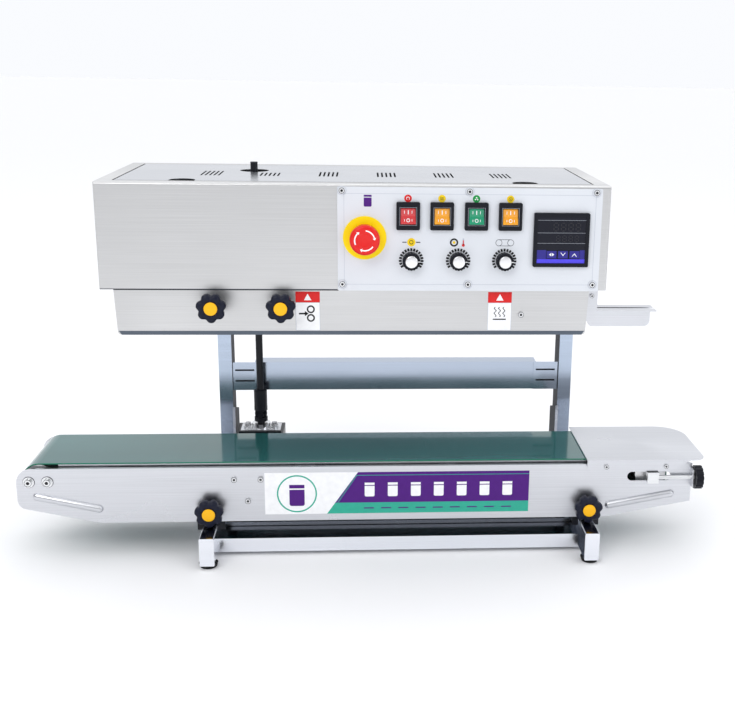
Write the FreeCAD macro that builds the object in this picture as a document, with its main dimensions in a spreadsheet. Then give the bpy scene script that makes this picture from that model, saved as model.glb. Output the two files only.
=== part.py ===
import FreeCAD
import Part
import math
import os
import re
import Sketcher

# Continuous band sealer with a height-adjustable bag conveyor.
# Millimetres.  X runs along the conveyor, Y goes to the back, Z is up.
# The origin is under the middle of the whole machine, on the floor.

# ---------------------------------------------------------------- driving dimensions
DIMS = {
    # sealing head casing
    "head_left": -355, "head_right": 326, "head_front": -93, "head_back": 178,
    "head_floor": 368, "head_top": 509.5, "sheet": 1.5, "base_thick": 3,
    "lid_left": -333, "lid_right": 304, "lid_front": -69, "lid_back": 156, "lid_gap": 0.8,
    "lid_hole": 20.5, "notch_radius": 17,
    # guards under the head
    "guard_left": -338, "guard_right": 303.5, "guard_front": -87, "guard_low": 304.5,
    # control panel
    "panel_left": -40, "panel_right": 314, "panel_low": 367.5, "panel_high": 506.5,
    "panel_front": -94.7, "window_margin": 16,
    # base frame
    "leg_left": -216.5, "leg_right": 307.5, "tube_wide": 20, "tube_deep": 40, "tube_wall": 1.5,
    "foot_front": -178, "foot_back": 178, "foot_low": 5.5, "foot_high": 45.5,
    "post_front": 85, "bar_low": 5.5, "bar_high": 25.5, "bar_front": -133,
    # conveyor
    "plate_front": -126, "plate_back": 9, "plate_thick": 2, "plate_top": 127.5,
    "plate_low": 48.5, "conveyor_left": -474, "conveyor_right": 455.5,
    "belt_front": -117, "belt_back": 2, "belt_thick": 1.6, "belt_top": 132.5,
    "roller_z": 108.9, "roller_radius": 21.7, "head_roller_x": -445, "tail_roller_x": 398.5,
    "drive_x": -163, "drive_z": 99.2, "drive_radius": 12, "axle_radius": 6,
    "cover_top": 134.5, "cover_left": 305, "cover_right": 473.9,
    # conveyor drive shaft
    "shaft_y": 69.3, "shaft_radius": 5.25, "shaft_top": 522.5, "bridge_z": 119.5,
    # sealing train
    "seal_y": -33, "pulley_radius": 22, "seal_thick": 1, "seal_low": 326, "seal_high": 342,
    "drive_pulley_x": -163, "idle_pulley_x": 260, "spindle_radius": 6, "pin_radius": 5,
    "press_x": -115, "press_radius": 14, "coder_x": -206.5, "coder_radius": 15,
    "gear_low": 376, "gear_high": 388, "gear_pitch": 23.6, "running": 0.05, "free_gap": 0.3,
    # star knobs
    "star_radius": 20, "star_thick": 17, "cap_radius": 8.85, "stud_radius": 4,
}

doc = FreeCAD.newDocument("band_sealer")
sheet = doc.addObject("Spreadsheet::Sheet", "dims")
for row, (alias, value) in enumerate(DIMS.items(), start=1):
    sheet.set(f"A{row}", alias)
    sheet.set(f"B{row}", str(value))
    sheet.setAlias(f"B{row}", alias)
doc.recompute()

NODES = {}          # node name -> document object
WORD = re.compile(r"[a-z]+(?:_[a-z]+)*")


def cells(formula):
    """A formula of dimension names, as a FreeCAD expression."""
    return WORD.sub(lambda m: "dims." + m.group() if m.group() in DIMS else m.group(), str(formula))


def number(formula):
    """The same formula worked out now, for places that take no expression."""
    return float(sheet.evalExpression(cells(f"0 + {formula}")))


# ---------------------------------------------------------------- building helpers
AXIS_TURN = {
    "x": FreeCAD.Rotation(FreeCAD.Vector(0, 1, 0), 90),
    "y": FreeCAD.Rotation(FreeCAD.Vector(1, 0, 0), -90),
    "z": FreeCAD.Rotation(),
}


def fresh(name):
    """An object name that is not in use yet."""
    return name if doc.getObject(name) is None else f"{name}_{len(doc.Objects)}"


def box(name, x, y, z):
    """A block from its low and high formula along each axis."""
    block = doc.addObject("Part::Box", fresh(name))
    for size, place, (low, high) in zip(("Length", "Width", "Height"), "xyz", (x, y, z)):
        block.setExpression(size, cells(f"({high}) - ({low})"))
        block.setExpression(f"Placement.Base.{place}", cells(f"0 + {low}"))
    return block


def rod(name, axis, radius, centre, span):
    """A round bar along an axis; centre gives its other two coordinates in order."""
    bar = doc.addObject("Part::Cylinder", fresh(name))
    bar.Placement = FreeCAD.Placement(FreeCAD.Vector(), AXIS_TURN[axis])
    bar.setExpression("Radius", cells(f"0 + {radius}"))
    bar.setExpression("Height", cells(f"({span[1]}) - ({span[0]})"))
    base = list(centre)
    base.insert("xyz".index(axis), span[0])
    for place, formula in zip("xyz", base):
        bar.setExpression(f"Placement.Base.{place}", cells(f"0 + {formula}"))
    return bar


def cone(name, axis, radius_low, radius_high, centre, span):
    """A cone frustum along an axis, its first radius at the low end."""
    frustum = doc.addObject("Part::Cone", fresh(name))
    frustum.Placement = FreeCAD.Placement(FreeCAD.Vector(), AXIS_TURN[axis])
    frustum.setExpression("Radius1", cells(f"0 + {radius_low}"))
    frustum.setExpression("Radius2", cells(f"0 + {radius_high}"))
    frustum.setExpression("Height", cells(f"({span[1]}) - ({span[0]})"))
    base = list(centre)
    base.insert("xyz".index(axis), span[0])
    for place, formula in zip("xyz", base):
        frustum.setExpression(f"Placement.Base.{place}", cells(f"0 + {formula}"))
    return frustum


def fuse(name, parts):
    """One solid from several touching ones."""
    joined = doc.addObject("Part::MultiFuse", fresh(name))
    joined.Shapes = parts
    joined.Refine = True
    return joined


def cut(name, base, tools):
    """A base with tools taken away."""
    result = doc.addObject("Part::Cut", fresh(name))
    result.Base = base
    result.Tool = tools[0] if len(tools) == 1 else fuse(name + "_tools", tools)
    return result


def group(name, parts):
    """Separate solids kept together as one sub-part."""
    gathered = doc.addObject("Part::Compound", fresh(name))
    gathered.Links = parts
    return gathered


def rounded(name, base, radius, wanted):
    """Rounds the edges that pass the test wanted(edge)."""
    doc.recompute()
    picks = [n for n, edge in enumerate(base.Shape.Edges, start=1) if wanted(edge)]
    result = doc.addObject("Part::Fillet", fresh(name))
    result.Base = base
    result.Edges = [(n, radius, radius) for n in picks]
    return result


def along(edge, axis):
    """True when a straight edge runs along the axis."""
    ends = [vertex.Point for vertex in edge.Vertexes]
    if len(ends) != 2:
        return False
    run = ends[1] - ends[0]
    return abs(abs(getattr(run, axis)) - run.Length) < 1e-4 and abs(edge.Length - run.Length) < 1e-4


PLANES = {"xy": "XY_Plane", "xz": "XZ_Plane", "yz": "YZ_Plane"}


def outline_body(name, plane, points, span, rounds=()):
    """A body padded from a closed outline of (formula, formula) corners.

    span is low and high across the plane.  rounds lists (corner number, radius)
    for corners whose edges are rounded.
    """
    body = doc.addObject("PartDesign::Body", fresh(name))
    drawing = body.newObject("Sketcher::SketchObject", fresh(name + "_outline"))
    origin = [o for o in body.Origin.OriginFeatures if o.Role == PLANES[plane]][0]
    drawing.AttachmentSupport = [(origin, "")]
    drawing.MapMode = "FlatFace"
    low, high = span
    offset = f"0 - ({high})" if plane == "xz" else f"0 + {low}"
    drawing.setExpression("AttachmentOffset.Base.z", cells(offset))
    spots = [(number(a), number(b)) for a, b in points]
    count = len(points)
    for n in range(count):
        start, end = spots[n], spots[(n + 1) % count]
        drawing.addGeometry(Part.LineSegment(FreeCAD.Vector(*start, 0), FreeCAD.Vector(*end, 0)))
    for n in range(count):
        drawing.addConstraint(Sketcher.Constraint("Coincident", n, 2, (n + 1) % count, 1))
    for n, corner in enumerate(points):
        for kind, value, formula in zip(("DistanceX", "DistanceY"), spots[n], corner):
            if abs(value) < 1e-9:
                continue
            index = drawing.addConstraint(Sketcher.Constraint(kind, -1, 1, n, 1, value))
            drawing.setExpression(f"Constraints[{index}]", cells(f"0 + {formula}"))
    doc.recompute()
    pad = body.newObject("PartDesign::Pad", fresh(name + "_pad"))
    pad.Profile = drawing
    pad.setExpression("Length", cells(f"({high}) - ({low})"))
    doc.recompute()
    if rounds:
        across = {"xy": "z", "xz": "y", "yz": "x"}[plane]
        for corner, radius in rounds:
            edges = []
            for n, edge in enumerate(body.Shape.Edges, start=1):
                if not along(edge, across):
                    continue
                point = edge.Vertexes[0].Point
                here = [getattr(point, axis) for axis in plane]
                if math.dist(here, spots[corner]) < 0.01:
                    edges.append(f"Edge{n}")
            solid = body.Tip
            fillet = body.newObject("PartDesign::Fillet", fresh(name + "_round"))
            fillet.Base = (solid, edges)
            fillet.Radius = radius
            body.Tip = fillet
            doc.recompute()
    return body


def node(name, obj):
    """Registers a finished sub-part under its node name."""
    obj.Label = name
    NODES[name] = obj
    return obj


def pair(name, maker, places):
    """The same piece made at each place, as one sub-part of separate solids."""
    return group(name, [maker(f"{name}_{n}", place) for n, place in enumerate(places)])


def rect_tube(name, x, y, z, axis):
    """A rectangular steel tube, open along one axis."""
    spans = {"x": x, "y": y, "z": z}
    inner = {a: span if a == axis else (f"{span[0]} + tube_wall", f"{span[1]} - tube_wall")
             for a, span in spans.items()}
    outer = box(name + "_outer", x, y, z)
    return cut(name, outer, [box(name + "_inner", inner["x"], inner["y"], inner["z"])])


# ---------------------------------------------------------------- base frame
LEGS = ("leg_left", "leg_right")


def leg_span(leg, extra="0"):
    """The X span of a foot or post, widened by extra on both sides."""
    return (f"{leg} - tube_wide/2 - {extra}", f"{leg} + tube_wide/2 + {extra}")


def foot(name, leg):
    """A foot tube, capped at the front and open at the back."""
    outer = rounded(name + "_outer", box(name + "_block", leg_span(leg), ("foot_front", "foot_back"),
                                         ("foot_low", "foot_high")), 2, lambda edge: along(edge, "y"))
    x_low, x_high = leg_span(leg, "0 - tube_wall")
    return cut(name, outer, [box(name + "_inner", (x_low, x_high), ("foot_front + 2", "foot_back + 1"),
                                 ("foot_low + tube_wall", "foot_high - tube_wall"))])


def post(name, leg):
    return rect_tube(name, leg_span(leg), ("post_front", "post_front + tube_deep"),
                     ("foot_high", "head_floor"), "z")


def gusset(name, leg):
    """A sloped stiffening plate on the inner face of a post's lower end."""
    side = 1 if leg == "leg_left" else -1
    near = f"{leg} + {side}*tube_wide/2"
    far = f"{leg} + {side}*(tube_wide/2 + 4)"
    span = (near, far) if side > 0 else (far, near)
    return outline_body(name, "yz",
                        [("post_front - 10", "foot_high"), ("post_front + tube_deep", "foot_high"),
                         ("post_front + tube_deep", "134"), ("post_front - 10", "150")], span)


inner = ("leg_left + tube_wide/2", "leg_right - tube_wide/2")
frame_tubes = [foot("foot_tube_left", "leg_left"), foot("foot_tube_right", "leg_right"),
               post("post_tube_left", "leg_left"), post("post_tube_right", "leg_right"),
               gusset("gusset_left", "leg_left"), gusset("gusset_right", "leg_right")]
frame_tubes.append(rect_tube("front_bar", inner, ("bar_front", "bar_front + tube_deep"),
                             ("bar_low", "bar_high"), "x"))
frame_tubes.append(rect_tube("middle_bar", inner, ("bar_front + 42", "bar_front + 62"),
                             ("bar_low", "bar_high + 6"), "x"))
frame_tubes.append(rect_tube("back_bar", inner, ("post_front", "post_front + tube_deep"),
                             ("bar_low", "bar_high"), "x"))
node("base_frame", group("base_frame_tubes", frame_tubes))


def rubber_foot(name, place):
    """A rubber pad under a foot tube, a little wider than the tube."""
    x, y = place
    return cone(name, "z", 11, 13, (x, y), (0, "foot_low"))


def end_plug(name, leg):
    """A plug pressed into the open back end of a foot tube."""
    x_low, x_high = leg_span(leg, "0 - tube_wall - 0.2")
    return box(name, (x_low, x_high), ("foot_back - 16", "foot_back"),
               ("foot_low + tube_wall + 0.2", "foot_high - tube_wall - 0.2"))


rubber_pads = [rubber_foot("rubber_pad", (leg, y)) for leg in LEGS
               for y in ("foot_front + 14", "foot_back - 14")]
node("rubber_feet", group("rubber_pieces", rubber_pads + [end_plug("end_plug", leg) for leg in LEGS]))


def support_channel(name):
    """The bag rest between the posts: a folded channel open to the back."""
    left, right = "leg_left + 44", "leg_right - 45"
    outer = box(name + "_outer", (left, right), (92, 119), (172.5, 216.5))
    return cut(name, outer, [box(name + "_hollow", (left, right), (93.5, 120), (174, 215))])


def slotted_bracket(name, span):
    """A bracket between a post and the channel, with two adjusting slots."""
    plate = box(name + "_plate", span, (90.4, 92), (172.5, 216.5))
    slots = [box(name + "_slot", (f"{span[0]} + 4", f"{span[1]} - 5"), (90, 93), (z, z + 2.6))
             for z in (186, 203)]
    return cut(name, plate, slots)


node("cross_panel", group("cross_panel_pieces", [
    support_channel("bag_rest"),
    slotted_bracket("bracket_left", ("leg_left + tube_wide/2", "leg_left + 48")),
    slotted_bracket("bracket_right", ("leg_right - 49", "leg_right - tube_wide/2"))]))


def height_bracket(name, place):
    """A plate that straddles the foot tube and guides the conveyor in a vertical slot."""
    leg, inside = place
    faces = {"front": ("plate_front + plate_thick + 0.4", "plate_front + plate_thick + 3.4"),
             "back": ("plate_back - plate_thick - 3.4", "plate_back - plate_thick - 0.4")}[inside]
    plate = box(name + "_plate", leg_span(leg, "9"), faces, (35, 124.5))
    saddle = box(name + "_saddle", leg_span(leg), (f"{faces[0]} - 1", f"{faces[1]} + 1"),
                 (34, "foot_high"))
    slot = box(name + "_slot", (f"{leg} - 4.6", f"{leg} + 4.6"), (f"{faces[0]} - 1", f"{faces[1]} + 1"),
               (61.5, 115.9))
    return cut(name, plate, [saddle, slot])


node("height_brackets", pair("height_bracket_plates", height_bracket,
                             [(leg, side) for leg in LEGS for side in ("front", "back")]))

# ---------------------------------------------------------------- sealing head casing


def shell():
    """The head casing: one folded sheet, open below, with the lid opening on top."""
    outer = rounded("casing_outer",
                    box("casing_block", ("head_left", "head_right"), ("head_front", "head_back"),
                        ("head_floor", "head_top")), 3,
                    lambda edge: not along(edge, "y") and edge.CenterOfMass.z > DIMS["head_floor"] + 1)
    hollow = box("casing_hollow", ("head_left + sheet", "head_right - sheet"),
                 ("head_front + sheet", "head_back - sheet"), ("head_floor - 1", "head_top - sheet"))
    mouth = box("lid_mouth", ("lid_left - lid_gap", "lid_right + lid_gap"),
                ("lid_front - lid_gap", "lid_back + lid_gap"), ("head_top - 5", "head_top + 1"))
    window = box("panel_window", ("panel_left + window_margin", "panel_right - window_margin"),
                 ("head_front - 1", "head_front + 5"),
                 ("panel_low + window_margin", "panel_high - window_margin"))
    inlet = rod("inlet_hole", "y", 8, (-300, 392), ("head_back - 5", "head_back + 1"))
    vents = [box("vent", (x, x + 4), ("head_back - 5", "head_back + 1"), (402, 458))
             for x in range(66, 122, 9)]
    return cut("casing_shell", outer, [hollow, mouth, window, inlet] + vents)


node("head_casing", shell())

SPINDLES = {"front": "seal_y - free_gap - seal_thick - free_gap - pulley_radius",
            "back": "seal_y + free_gap + seal_thick + free_gap + pulley_radius"}
PRESS = {"front": "seal_y - free_gap - seal_thick - free_gap - press_radius",
         "back": "seal_y + free_gap + seal_thick + free_gap + press_radius"}
CODER_Y = "seal_y - free_gap - coder_radius"
IDLER_PINS = [("idle_pulley_x", SPINDLES["front"]), ("idle_pulley_x", SPINDLES["back"]),
              ("press_x", PRESS["front"]), ("press_x", PRESS["back"]), ("coder_x", CODER_Y)]


def machine_plate():
    """The head's thick floor, with spindle bores, wheel pins and the coder's backing bar."""
    plate = box("floor_plate", ("head_left + 2", "head_right - 2"), ("head_front + 2", "head_back - 2"),
                ("head_floor", "head_floor + base_thick"))
    bosses = [rod("bearing_boss", "z", 14, ("drive_pulley_x", y), ("head_floor - 10", "head_floor"))
              for y in SPINDLES.values()]
    bores = [rod("spindle_bore", "z", "spindle_radius + running", ("drive_pulley_x", y),
                 ("head_floor - 20", "head_floor + 10")) for y in SPINDLES.values()]
    gear_collar = rod("gear_collar", "z", 12, ("drive_x", "shaft_y"), ("head_floor - 6", "head_floor"))
    shaft_bore = rod("shaft_way", "z", "shaft_radius + 3.05", ("drive_x", "shaft_y"),
                     ("head_floor - 20", "head_floor + 10"))
    pins = [rod("wheel_pin", "z", "pin_radius", place, ("seal_low - 3", "head_floor"))
            for place in IDLER_PINS]
    backing = box("coder_backing", ("coder_x - 14", "coder_x + 14"), ("seal_y + free_gap", "seal_y + 14"),
                  ("seal_low", "head_floor"))
    solid = fuse("plate_with_bosses", [plate, gear_collar, backing] + bosses + pins)
    return cut("plate_bored", solid, bores + [shaft_bore])


node("base_plate", machine_plate())


def guard(name, side):
    """A folded guard under the head, with returned ends and a bent lower lip."""
    if side == "front":
        face, inward, y = ("guard_front", "guard_front + sheet"), 1, "guard_front"
    else:
        face, inward, y = ("post_front - 1.5 - sheet", "post_front - 1.5"), -1, "post_front - 1.5"
    skin = outline_body(name + "_skin", "xz",
                        [("guard_left + 3", "guard_low"), ("guard_right - 3", "guard_low"),
                         ("guard_right", "head_floor"),
                         ("guard_left", "head_floor")],
                        face, [(0, 5), (1, 5)])

    def depth(size):
        near, far = y, f"{y} + {inward * size}"
        return (near, far) if inward > 0 else (far, near)

    ends = [box(name + "_end", ("guard_left + 3", "guard_left + 4.5"), depth(26),
                ("guard_low + 8", "head_floor")),
            box(name + "_end", ("guard_right - 4.5", "guard_right - 3"), depth(26),
                ("guard_low + 8", "head_floor"))]
    lip = box(name + "_lip", ("guard_left + 9", "guard_right - 9"), depth(8),
              ("guard_low", "guard_low + sheet"))
    return fuse(name, [skin, lip] + ends)


def knob_hole(name, x):
    return rod(name, "y", "stud_radius + running", (x, 348.5), ("guard_front - 2", "guard_front + 4"))


node("lower_guards", group("guard_sheets", [
    cut("front_guard_sheet", guard("front_guard", "front"),
        [knob_hole("stud_hole", -206), knob_hole("stud_hole", -115)]),
    guard("back_guard", "back")]))


def infeed_plate(name, side):
    """A guide plate for the bag's mouth, with its outer flange bent away from the bag."""
    near = "seal_y - 4.6" if side < 0 else "seal_y + 3"
    far = "seal_y - 3" if side < 0 else "seal_y + 4.6"
    blade = outline_body(name + "_blade", "xz",
                         [("guard_right + 4", "320"), ("guard_right + 14", "304.5"),
                          ("404", "304.5"), ("404", "330.8"),
                          ("guard_right + 4", "330.8")],
                         (near, far), [(2, 9)])
    flange_y = (f"{near} - 14", near) if side < 0 else (far, f"{far} + 14")
    flange = box(name + "_flange", ("guard_right + 4", "409.5"), flange_y, ("329.3", "330.8"))
    joint = box(name + "_joint", ("guard_right + 4", "404"), (f"{near} - 0.1", f"{far} + 0.1"),
                ("329.3", "330.8"))
    tab_y = (f"{near} - 14", f"{near} - 12.4") if side < 0 else (f"{far} + 12.4", f"{far} + 14")
    tab = box(name + "_tab", ("guard_right + 4", "guard_right + 20"), tab_y, ("330.8", "head_floor"))
    return fuse(name, [blade, flange, joint, tab])


node("infeed_guides",
     group("guide_plates", [infeed_plate("front_guide", -1), infeed_plate("back_guide", 1)]))

# ---------------------------------------------------------------- control panel
SWITCH_X = {"power": 53.5, "heating": 98.5, "fan": 144.5, "coder": 190}
DIAL_X = {"position_dial": 58.1, "coder_heat_dial": 121.3, "speed_dial": 183.7}
KEY_X = {"set_key": 247.2, "down_key": 262.7, "up_key": 278.2}
SWITCH_Z, DIAL_Z, STOP_X, STOP_Z, KEY_Z = 468.8, 409, -4, 439.2, 418.5
THERMO = ((222, 297.5), (401.5, 474.5))


def control_plate():
    """The white front plate with its cut-outs."""
    plate = outline_body("panel_sheet", "xz", [("panel_left", "panel_low"), ("panel_right", "panel_low"),
                                               ("panel_right", "panel_high"),
                                               ("panel_left", "panel_high")],
                         ("panel_front", "head_front"), [(0, 2), (1, 2), (2, 2), (3, 2)])
    through = ("panel_front - 1", "head_front + 1")
    holes = [rod("stop_hole", "y", 11, (STOP_X, STOP_Z), through)]
    holes += [box("switch_hole", (x - 12, x + 12), through, (SWITCH_Z - 14, SWITCH_Z + 14))
              for x in SWITCH_X.values()]
    holes += [rod("dial_hole", "y", 3.5, (x, DIAL_Z), through) for x in DIAL_X.values()]
    holes.append(box("thermo_hole", (THERMO[0][0] + 3, THERMO[0][1] - 3), through,
                     (THERMO[1][0] + 3, THERMO[1][1] - 3)))
    return cut("panel_cut", plate, holes)


node("control_panel", control_plate())


def stop_collar():
    """The yellow legend disc and, behind the panel, the emergency stop's contact block."""
    disc = rod("legend_disc", "y", 28.8, (STOP_X, STOP_Z), ("panel_front - 2", "panel_front"))
    neck = rod("stop_neck", "y", 10.8, (STOP_X, STOP_Z), ("panel_front - 4", "head_front + 12"))
    block = box("contact_block", (STOP_X - 14, STOP_X + 14), ("head_front + 12", "head_front + 40"),
                (STOP_Z - 14, STOP_Z + 14))
    bore = rod("stop_bore", "y", 7, (STOP_X, STOP_Z), ("panel_front - 10", "head_front + 30"))
    return cut("stop_collar", fuse("stop_collar_solid", [disc, neck, block]), [bore])


node("estop_collar", stop_collar())


def stop_button():
    """The red mushroom button and its plunger."""
    cap = rounded("stop_cap", rod("stop_disc", "y", 20, (STOP_X, STOP_Z), (-121, -107)), 4.5,
                  lambda edge: edge.CenterOfMass.y < -120)
    skirt = cone("stop_skirt", "y", 16, 12, (STOP_X, STOP_Z), (-107, -104))
    plunger = rod("stop_plunger", "y", "7 - running", (STOP_X, STOP_Z), (-104, -75))
    return fuse("stop_button", [cap, skirt, plunger])


node("estop_button", stop_button())


def switch_bezel(name, x):
    """A rocker switch frame with a splash-proof rim and its body behind the panel."""
    rim = rounded(name + "_rim",
                  box(name + "_block", (x - 15.65, x + 15.65), ("panel_front - 5", "panel_front"),
                      (SWITCH_Z - 18.5, SWITCH_Z + 18.5)), 2,
                  lambda edge: along(edge, "y"))
    housing = box(name + "_housing", (x - 11.8, x + 11.8), ("panel_front", "head_front + 26"),
                  (SWITCH_Z - 13.8, SWITCH_Z + 13.8))
    well = box(name + "_well", (x - 10.4, x + 10.4), ("panel_front - 6", "head_front + 12"),
               (SWITCH_Z - 12.6, SWITCH_Z + 12.6))
    return cut(name, fuse(name + "_solid", [rim, housing]), [well])


node("switch_bezels", pair("switch_frames", switch_bezel, SWITCH_X.values()))


def rocker(name, x):
    """A rocker key with two faces that meet at its pivot line, pressed in at the top."""
    y = DIMS["panel_front"]
    return outline_body(name, "yz",
                        [(y + 6, SWITCH_Z - 8), (y - 6.5, SWITCH_Z - 11.2), (y - 3.2, SWITCH_Z),
                         (y - 2.6, SWITCH_Z + 11.2), (y + 6, SWITCH_Z + 6)],
                        (x - 10, x + 10), [(1, 1.2), (3, 1.2)])


for label, x in SWITCH_X.items():
    node(f"{label}_rocker", rocker(f"{label}_key", x))


def dial(name, x):
    """A control dial: fluted skirt, cap and a spindle through the panel."""
    skirt = rod(name + "_skirt", "y", 12, (x, DIAL_Z), ("panel_front - 12", "panel_front - 0.5"))
    flutes = []
    for n in range(18):
        angle = math.radians(20 * n)
        flutes.append(rod(name + "_flute", "y", 1,
                          (x + 12.3 * math.cos(angle), DIAL_Z + 12.3 * math.sin(angle)),
                          ("panel_front - 13", "panel_front")))
    cap = cone(name + "_cap", "y", 7.4, 8, (x, DIAL_Z), ("panel_front - 15", "panel_front - 12"))
    spindle = rod(name + "_spindle", "y", 3, (x, DIAL_Z), ("panel_front - 0.5", "head_front + 16"))
    return fuse(name, [cut(name + "_fluted", skirt, flutes), cap, spindle])


for label, x in DIAL_X.items():
    node(label, dial(label + "_knob", x))


def temperature_unit():
    """The panel-mounted temperature controller with pockets for its three keys."""
    (left, right), (low, high) = THERMO
    bezel = rounded("thermo_bezel",
                    box("thermo_block", (left, right), ("panel_front - 4.5", "panel_front"),
                        (low, high)), 2, lambda edge: along(edge, "y"))
    housing = box("thermo_housing", (left + 4, right - 4), ("panel_front", "head_front + 78"),
                  (low + 4, high - 4))
    screen = box("thermo_screen", (left + 5, right - 5), ("panel_front - 5", "panel_front - 3.5"),
                 (low + 5, high - 5))
    wells = [box("key_well", (x - 6.8, x + 6.8), ("panel_front - 6", "panel_front - 1"),
                 (KEY_Z - 5.2, KEY_Z + 5.2))
             for x in KEY_X.values()]
    return cut("thermo_unit", fuse("thermo_solid", [bezel, housing]), [screen] + wells)


node("temperature_controller", temperature_unit())
for label, x in KEY_X.items():
    node(label, rounded(label + "_soft", box(label + "_block", (x - 6.6, x + 6.6),
                                             ("panel_front - 4.2", "panel_front - 1.8"),
                                             (KEY_Z - 5, KEY_Z + 5)), 0.8, lambda edge: along(edge, "y")))


def screw(name, axis, place, face, side, radius=4, height=2.4):
    """A socket-head screw standing on a face; side is -1 or 1 along the axis."""
    span = (f"{face} - {height}", face) if side < 0 else (face, f"{face} + {height}")
    head = rod(name + "_head", axis, radius, place, span)
    tip = (f"{face} - {height + 1}", f"{face} - {height - 1.4}") if side < 0 else \
        (f"{face} + {height - 1.4}", f"{face} + {height + 1}")
    return cut(name, head, [rod(name + "_socket", axis, radius * 0.45, place, tip)])


PANEL_SCREWS = [(x, z) for x in (-34, 135, 305.5) for z in (376.5, 501.5)]
head_screws = [screw("panel_screw", "y", place, "panel_front", -1) for place in PANEL_SCREWS]
head_screws.append(screw("guard_screw", "y", (210, 333), "guard_front", -1))
head_screws.append(screw("guide_screw", "y", (315, 352), "seal_y - 18.6", -1, 3))
node("casing_screws", group("casing_screw_set", head_screws))


def lid():
    """The service lid: a flat sheet with finger notches, vent fields and the shaft hole."""
    plate = box("lid_sheet", ("lid_left", "lid_right"), ("lid_front", "lid_back"),
                ("head_top - sheet", "head_top"))
    ribs = [box("lid_rib", (x, x + 2), ("lid_front + 40", "lid_back - 12"),
                ("head_top - 9", "head_top - sheet"))
            for x in (-300, 262)]
    through = ("head_top - 12", "head_top + 1")
    hole = rod("lid_shaft_hole", "z", "lid_hole", ("drive_x", "shaft_y + 6"), through)
    notches = []
    for x in (-245.5, 213):
        notches.append(rod("notch_round", "z", "notch_radius", (x, "lid_front + 10"), through))
        notches.append(box("notch_mouth", (f"{x} - notch_radius", f"{x} + notch_radius"),
                           ("lid_front - 5", "lid_front + 10"), through))
    vents = []
    for column in range(6):
        left = -231 + 81.5 * column
        if abs(left + 14 - DIMS["drive_x"]) < 30:
            continue
        vents += [box("lid_vent", (left + 6 * n, left + 6 * n + 2.5), (2, 62), through) for n in range(5)]
    left = -231 + 81.5
    vents += [box("lid_vent", (left + 6 * n, left + 6 * n + 2.5), (2, 44), through) for n in range(5)]
    return cut("lid_cut", fuse("lid_solid", [plate] + ribs), [hole] + notches + vents)


node("lid", lid())

# ---------------------------------------------------------------- inside the head


def drive_unit():
    """Worm gearbox over the back spindle with its motor lying along the head."""
    y = number(SPINDLES["back"])
    gearbox = rounded("gearbox", box("gearbox_block", (-198, -128), (y - 30, y + 30), (393, 452)), 4,
                      lambda edge: along(edge, "z"))
    flange = rod("motor_flange", "x", 31, (y, 423), (-128, -122))
    can = rod("motor_can", "x", 28, (y, 423), (-122, -30))
    cap = rod("motor_cap", "x", 22, (y, 423), (-30, -24))
    feet = [box("gearbox_leg", (x, x + 5), (y - 36, y - 31), ("head_floor + base_thick", 445))
            for x in (-198, -133)]
    rail = box("gearbox_rail", (-198, -128), (y - 36, y - 30), (430, 445))
    bore = rod("gearbox_bore", "z", "spindle_radius + running", ("drive_pulley_x", SPINDLES["back"]),
               (390, 402))
    return cut("drive_unit", fuse("drive_unit_solid", [gearbox, flange, can, cap, rail] + feet), [bore])


node("gear_motor", drive_unit())


def block_pair(name, left, right, side_gap):
    """Two bars inside the belt loops, hung from the machine plate by stems."""
    bars = []
    for side, sign in (("front", -1), ("back", 1)):
        near = f"seal_y + {sign}*(free_gap + seal_thick + free_gap)"
        far = f"seal_y + {sign}*(free_gap + seal_thick + free_gap + {side_gap})"
        y = (far, near) if sign < 0 else (near, far)
        bar = box(f"{name}_{side}", (left, right), y, ("seal_low + 1", "seal_high - 1"))
        stems = [rod(f"{name}_stem", "z", 4,
                     (x, f"seal_y + {sign}*(free_gap + seal_thick + free_gap + {side_gap}/2)"),
                     ("seal_high - 2", "head_floor")) for x in (left + 14, right - 14)]
        bars.append(fuse(f"{name}_{side}_bar", [bar] + stems))
    return group(name + "_set", bars)


node("heating_blocks", block_pair("heating_block", 100, 200, 14))
node("cooling_blocks", block_pair("cooling_block", -60, 40, 14))


def belt_loop(name, plane_axis, ends, centre, radius, thick, span):
    """A flat belt running round two equal rollers; ends are their positions along X."""
    (left, right), across = ends, centre

    def track(tag, size):
        def place(x):
            return (x, across)
        rounds = [rod(f"{name}_{tag}", plane_axis, size, place(x), span) for x in (left, right)]
        if plane_axis == "z":
            middle = box(f"{name}_{tag}_run", (left, right),
                         (f"{across} - ({size})", f"{across} + {size}"), span)
        else:
            middle = box(f"{name}_{tag}_run", (left, right), span,
                         (f"{across} - ({size})", f"{across} + {size}"))
        return fuse(f"{name}_{tag}_loop", rounds + [middle])

    return cut(name, track("outer", f"{radius} + {thick}"), [track("inner", radius)])


node("seal_belts", group("seal_belt_pair", [
    belt_loop(f"{side}_seal_belt", "z", ("drive_pulley_x", "idle_pulley_x"), y,
              "pulley_radius + free_gap",
              "seal_thick", ("seal_low", "seal_high")) for side, y in SPINDLES.items()]))

FAN_X, FAN_Z = 95, 430


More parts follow.
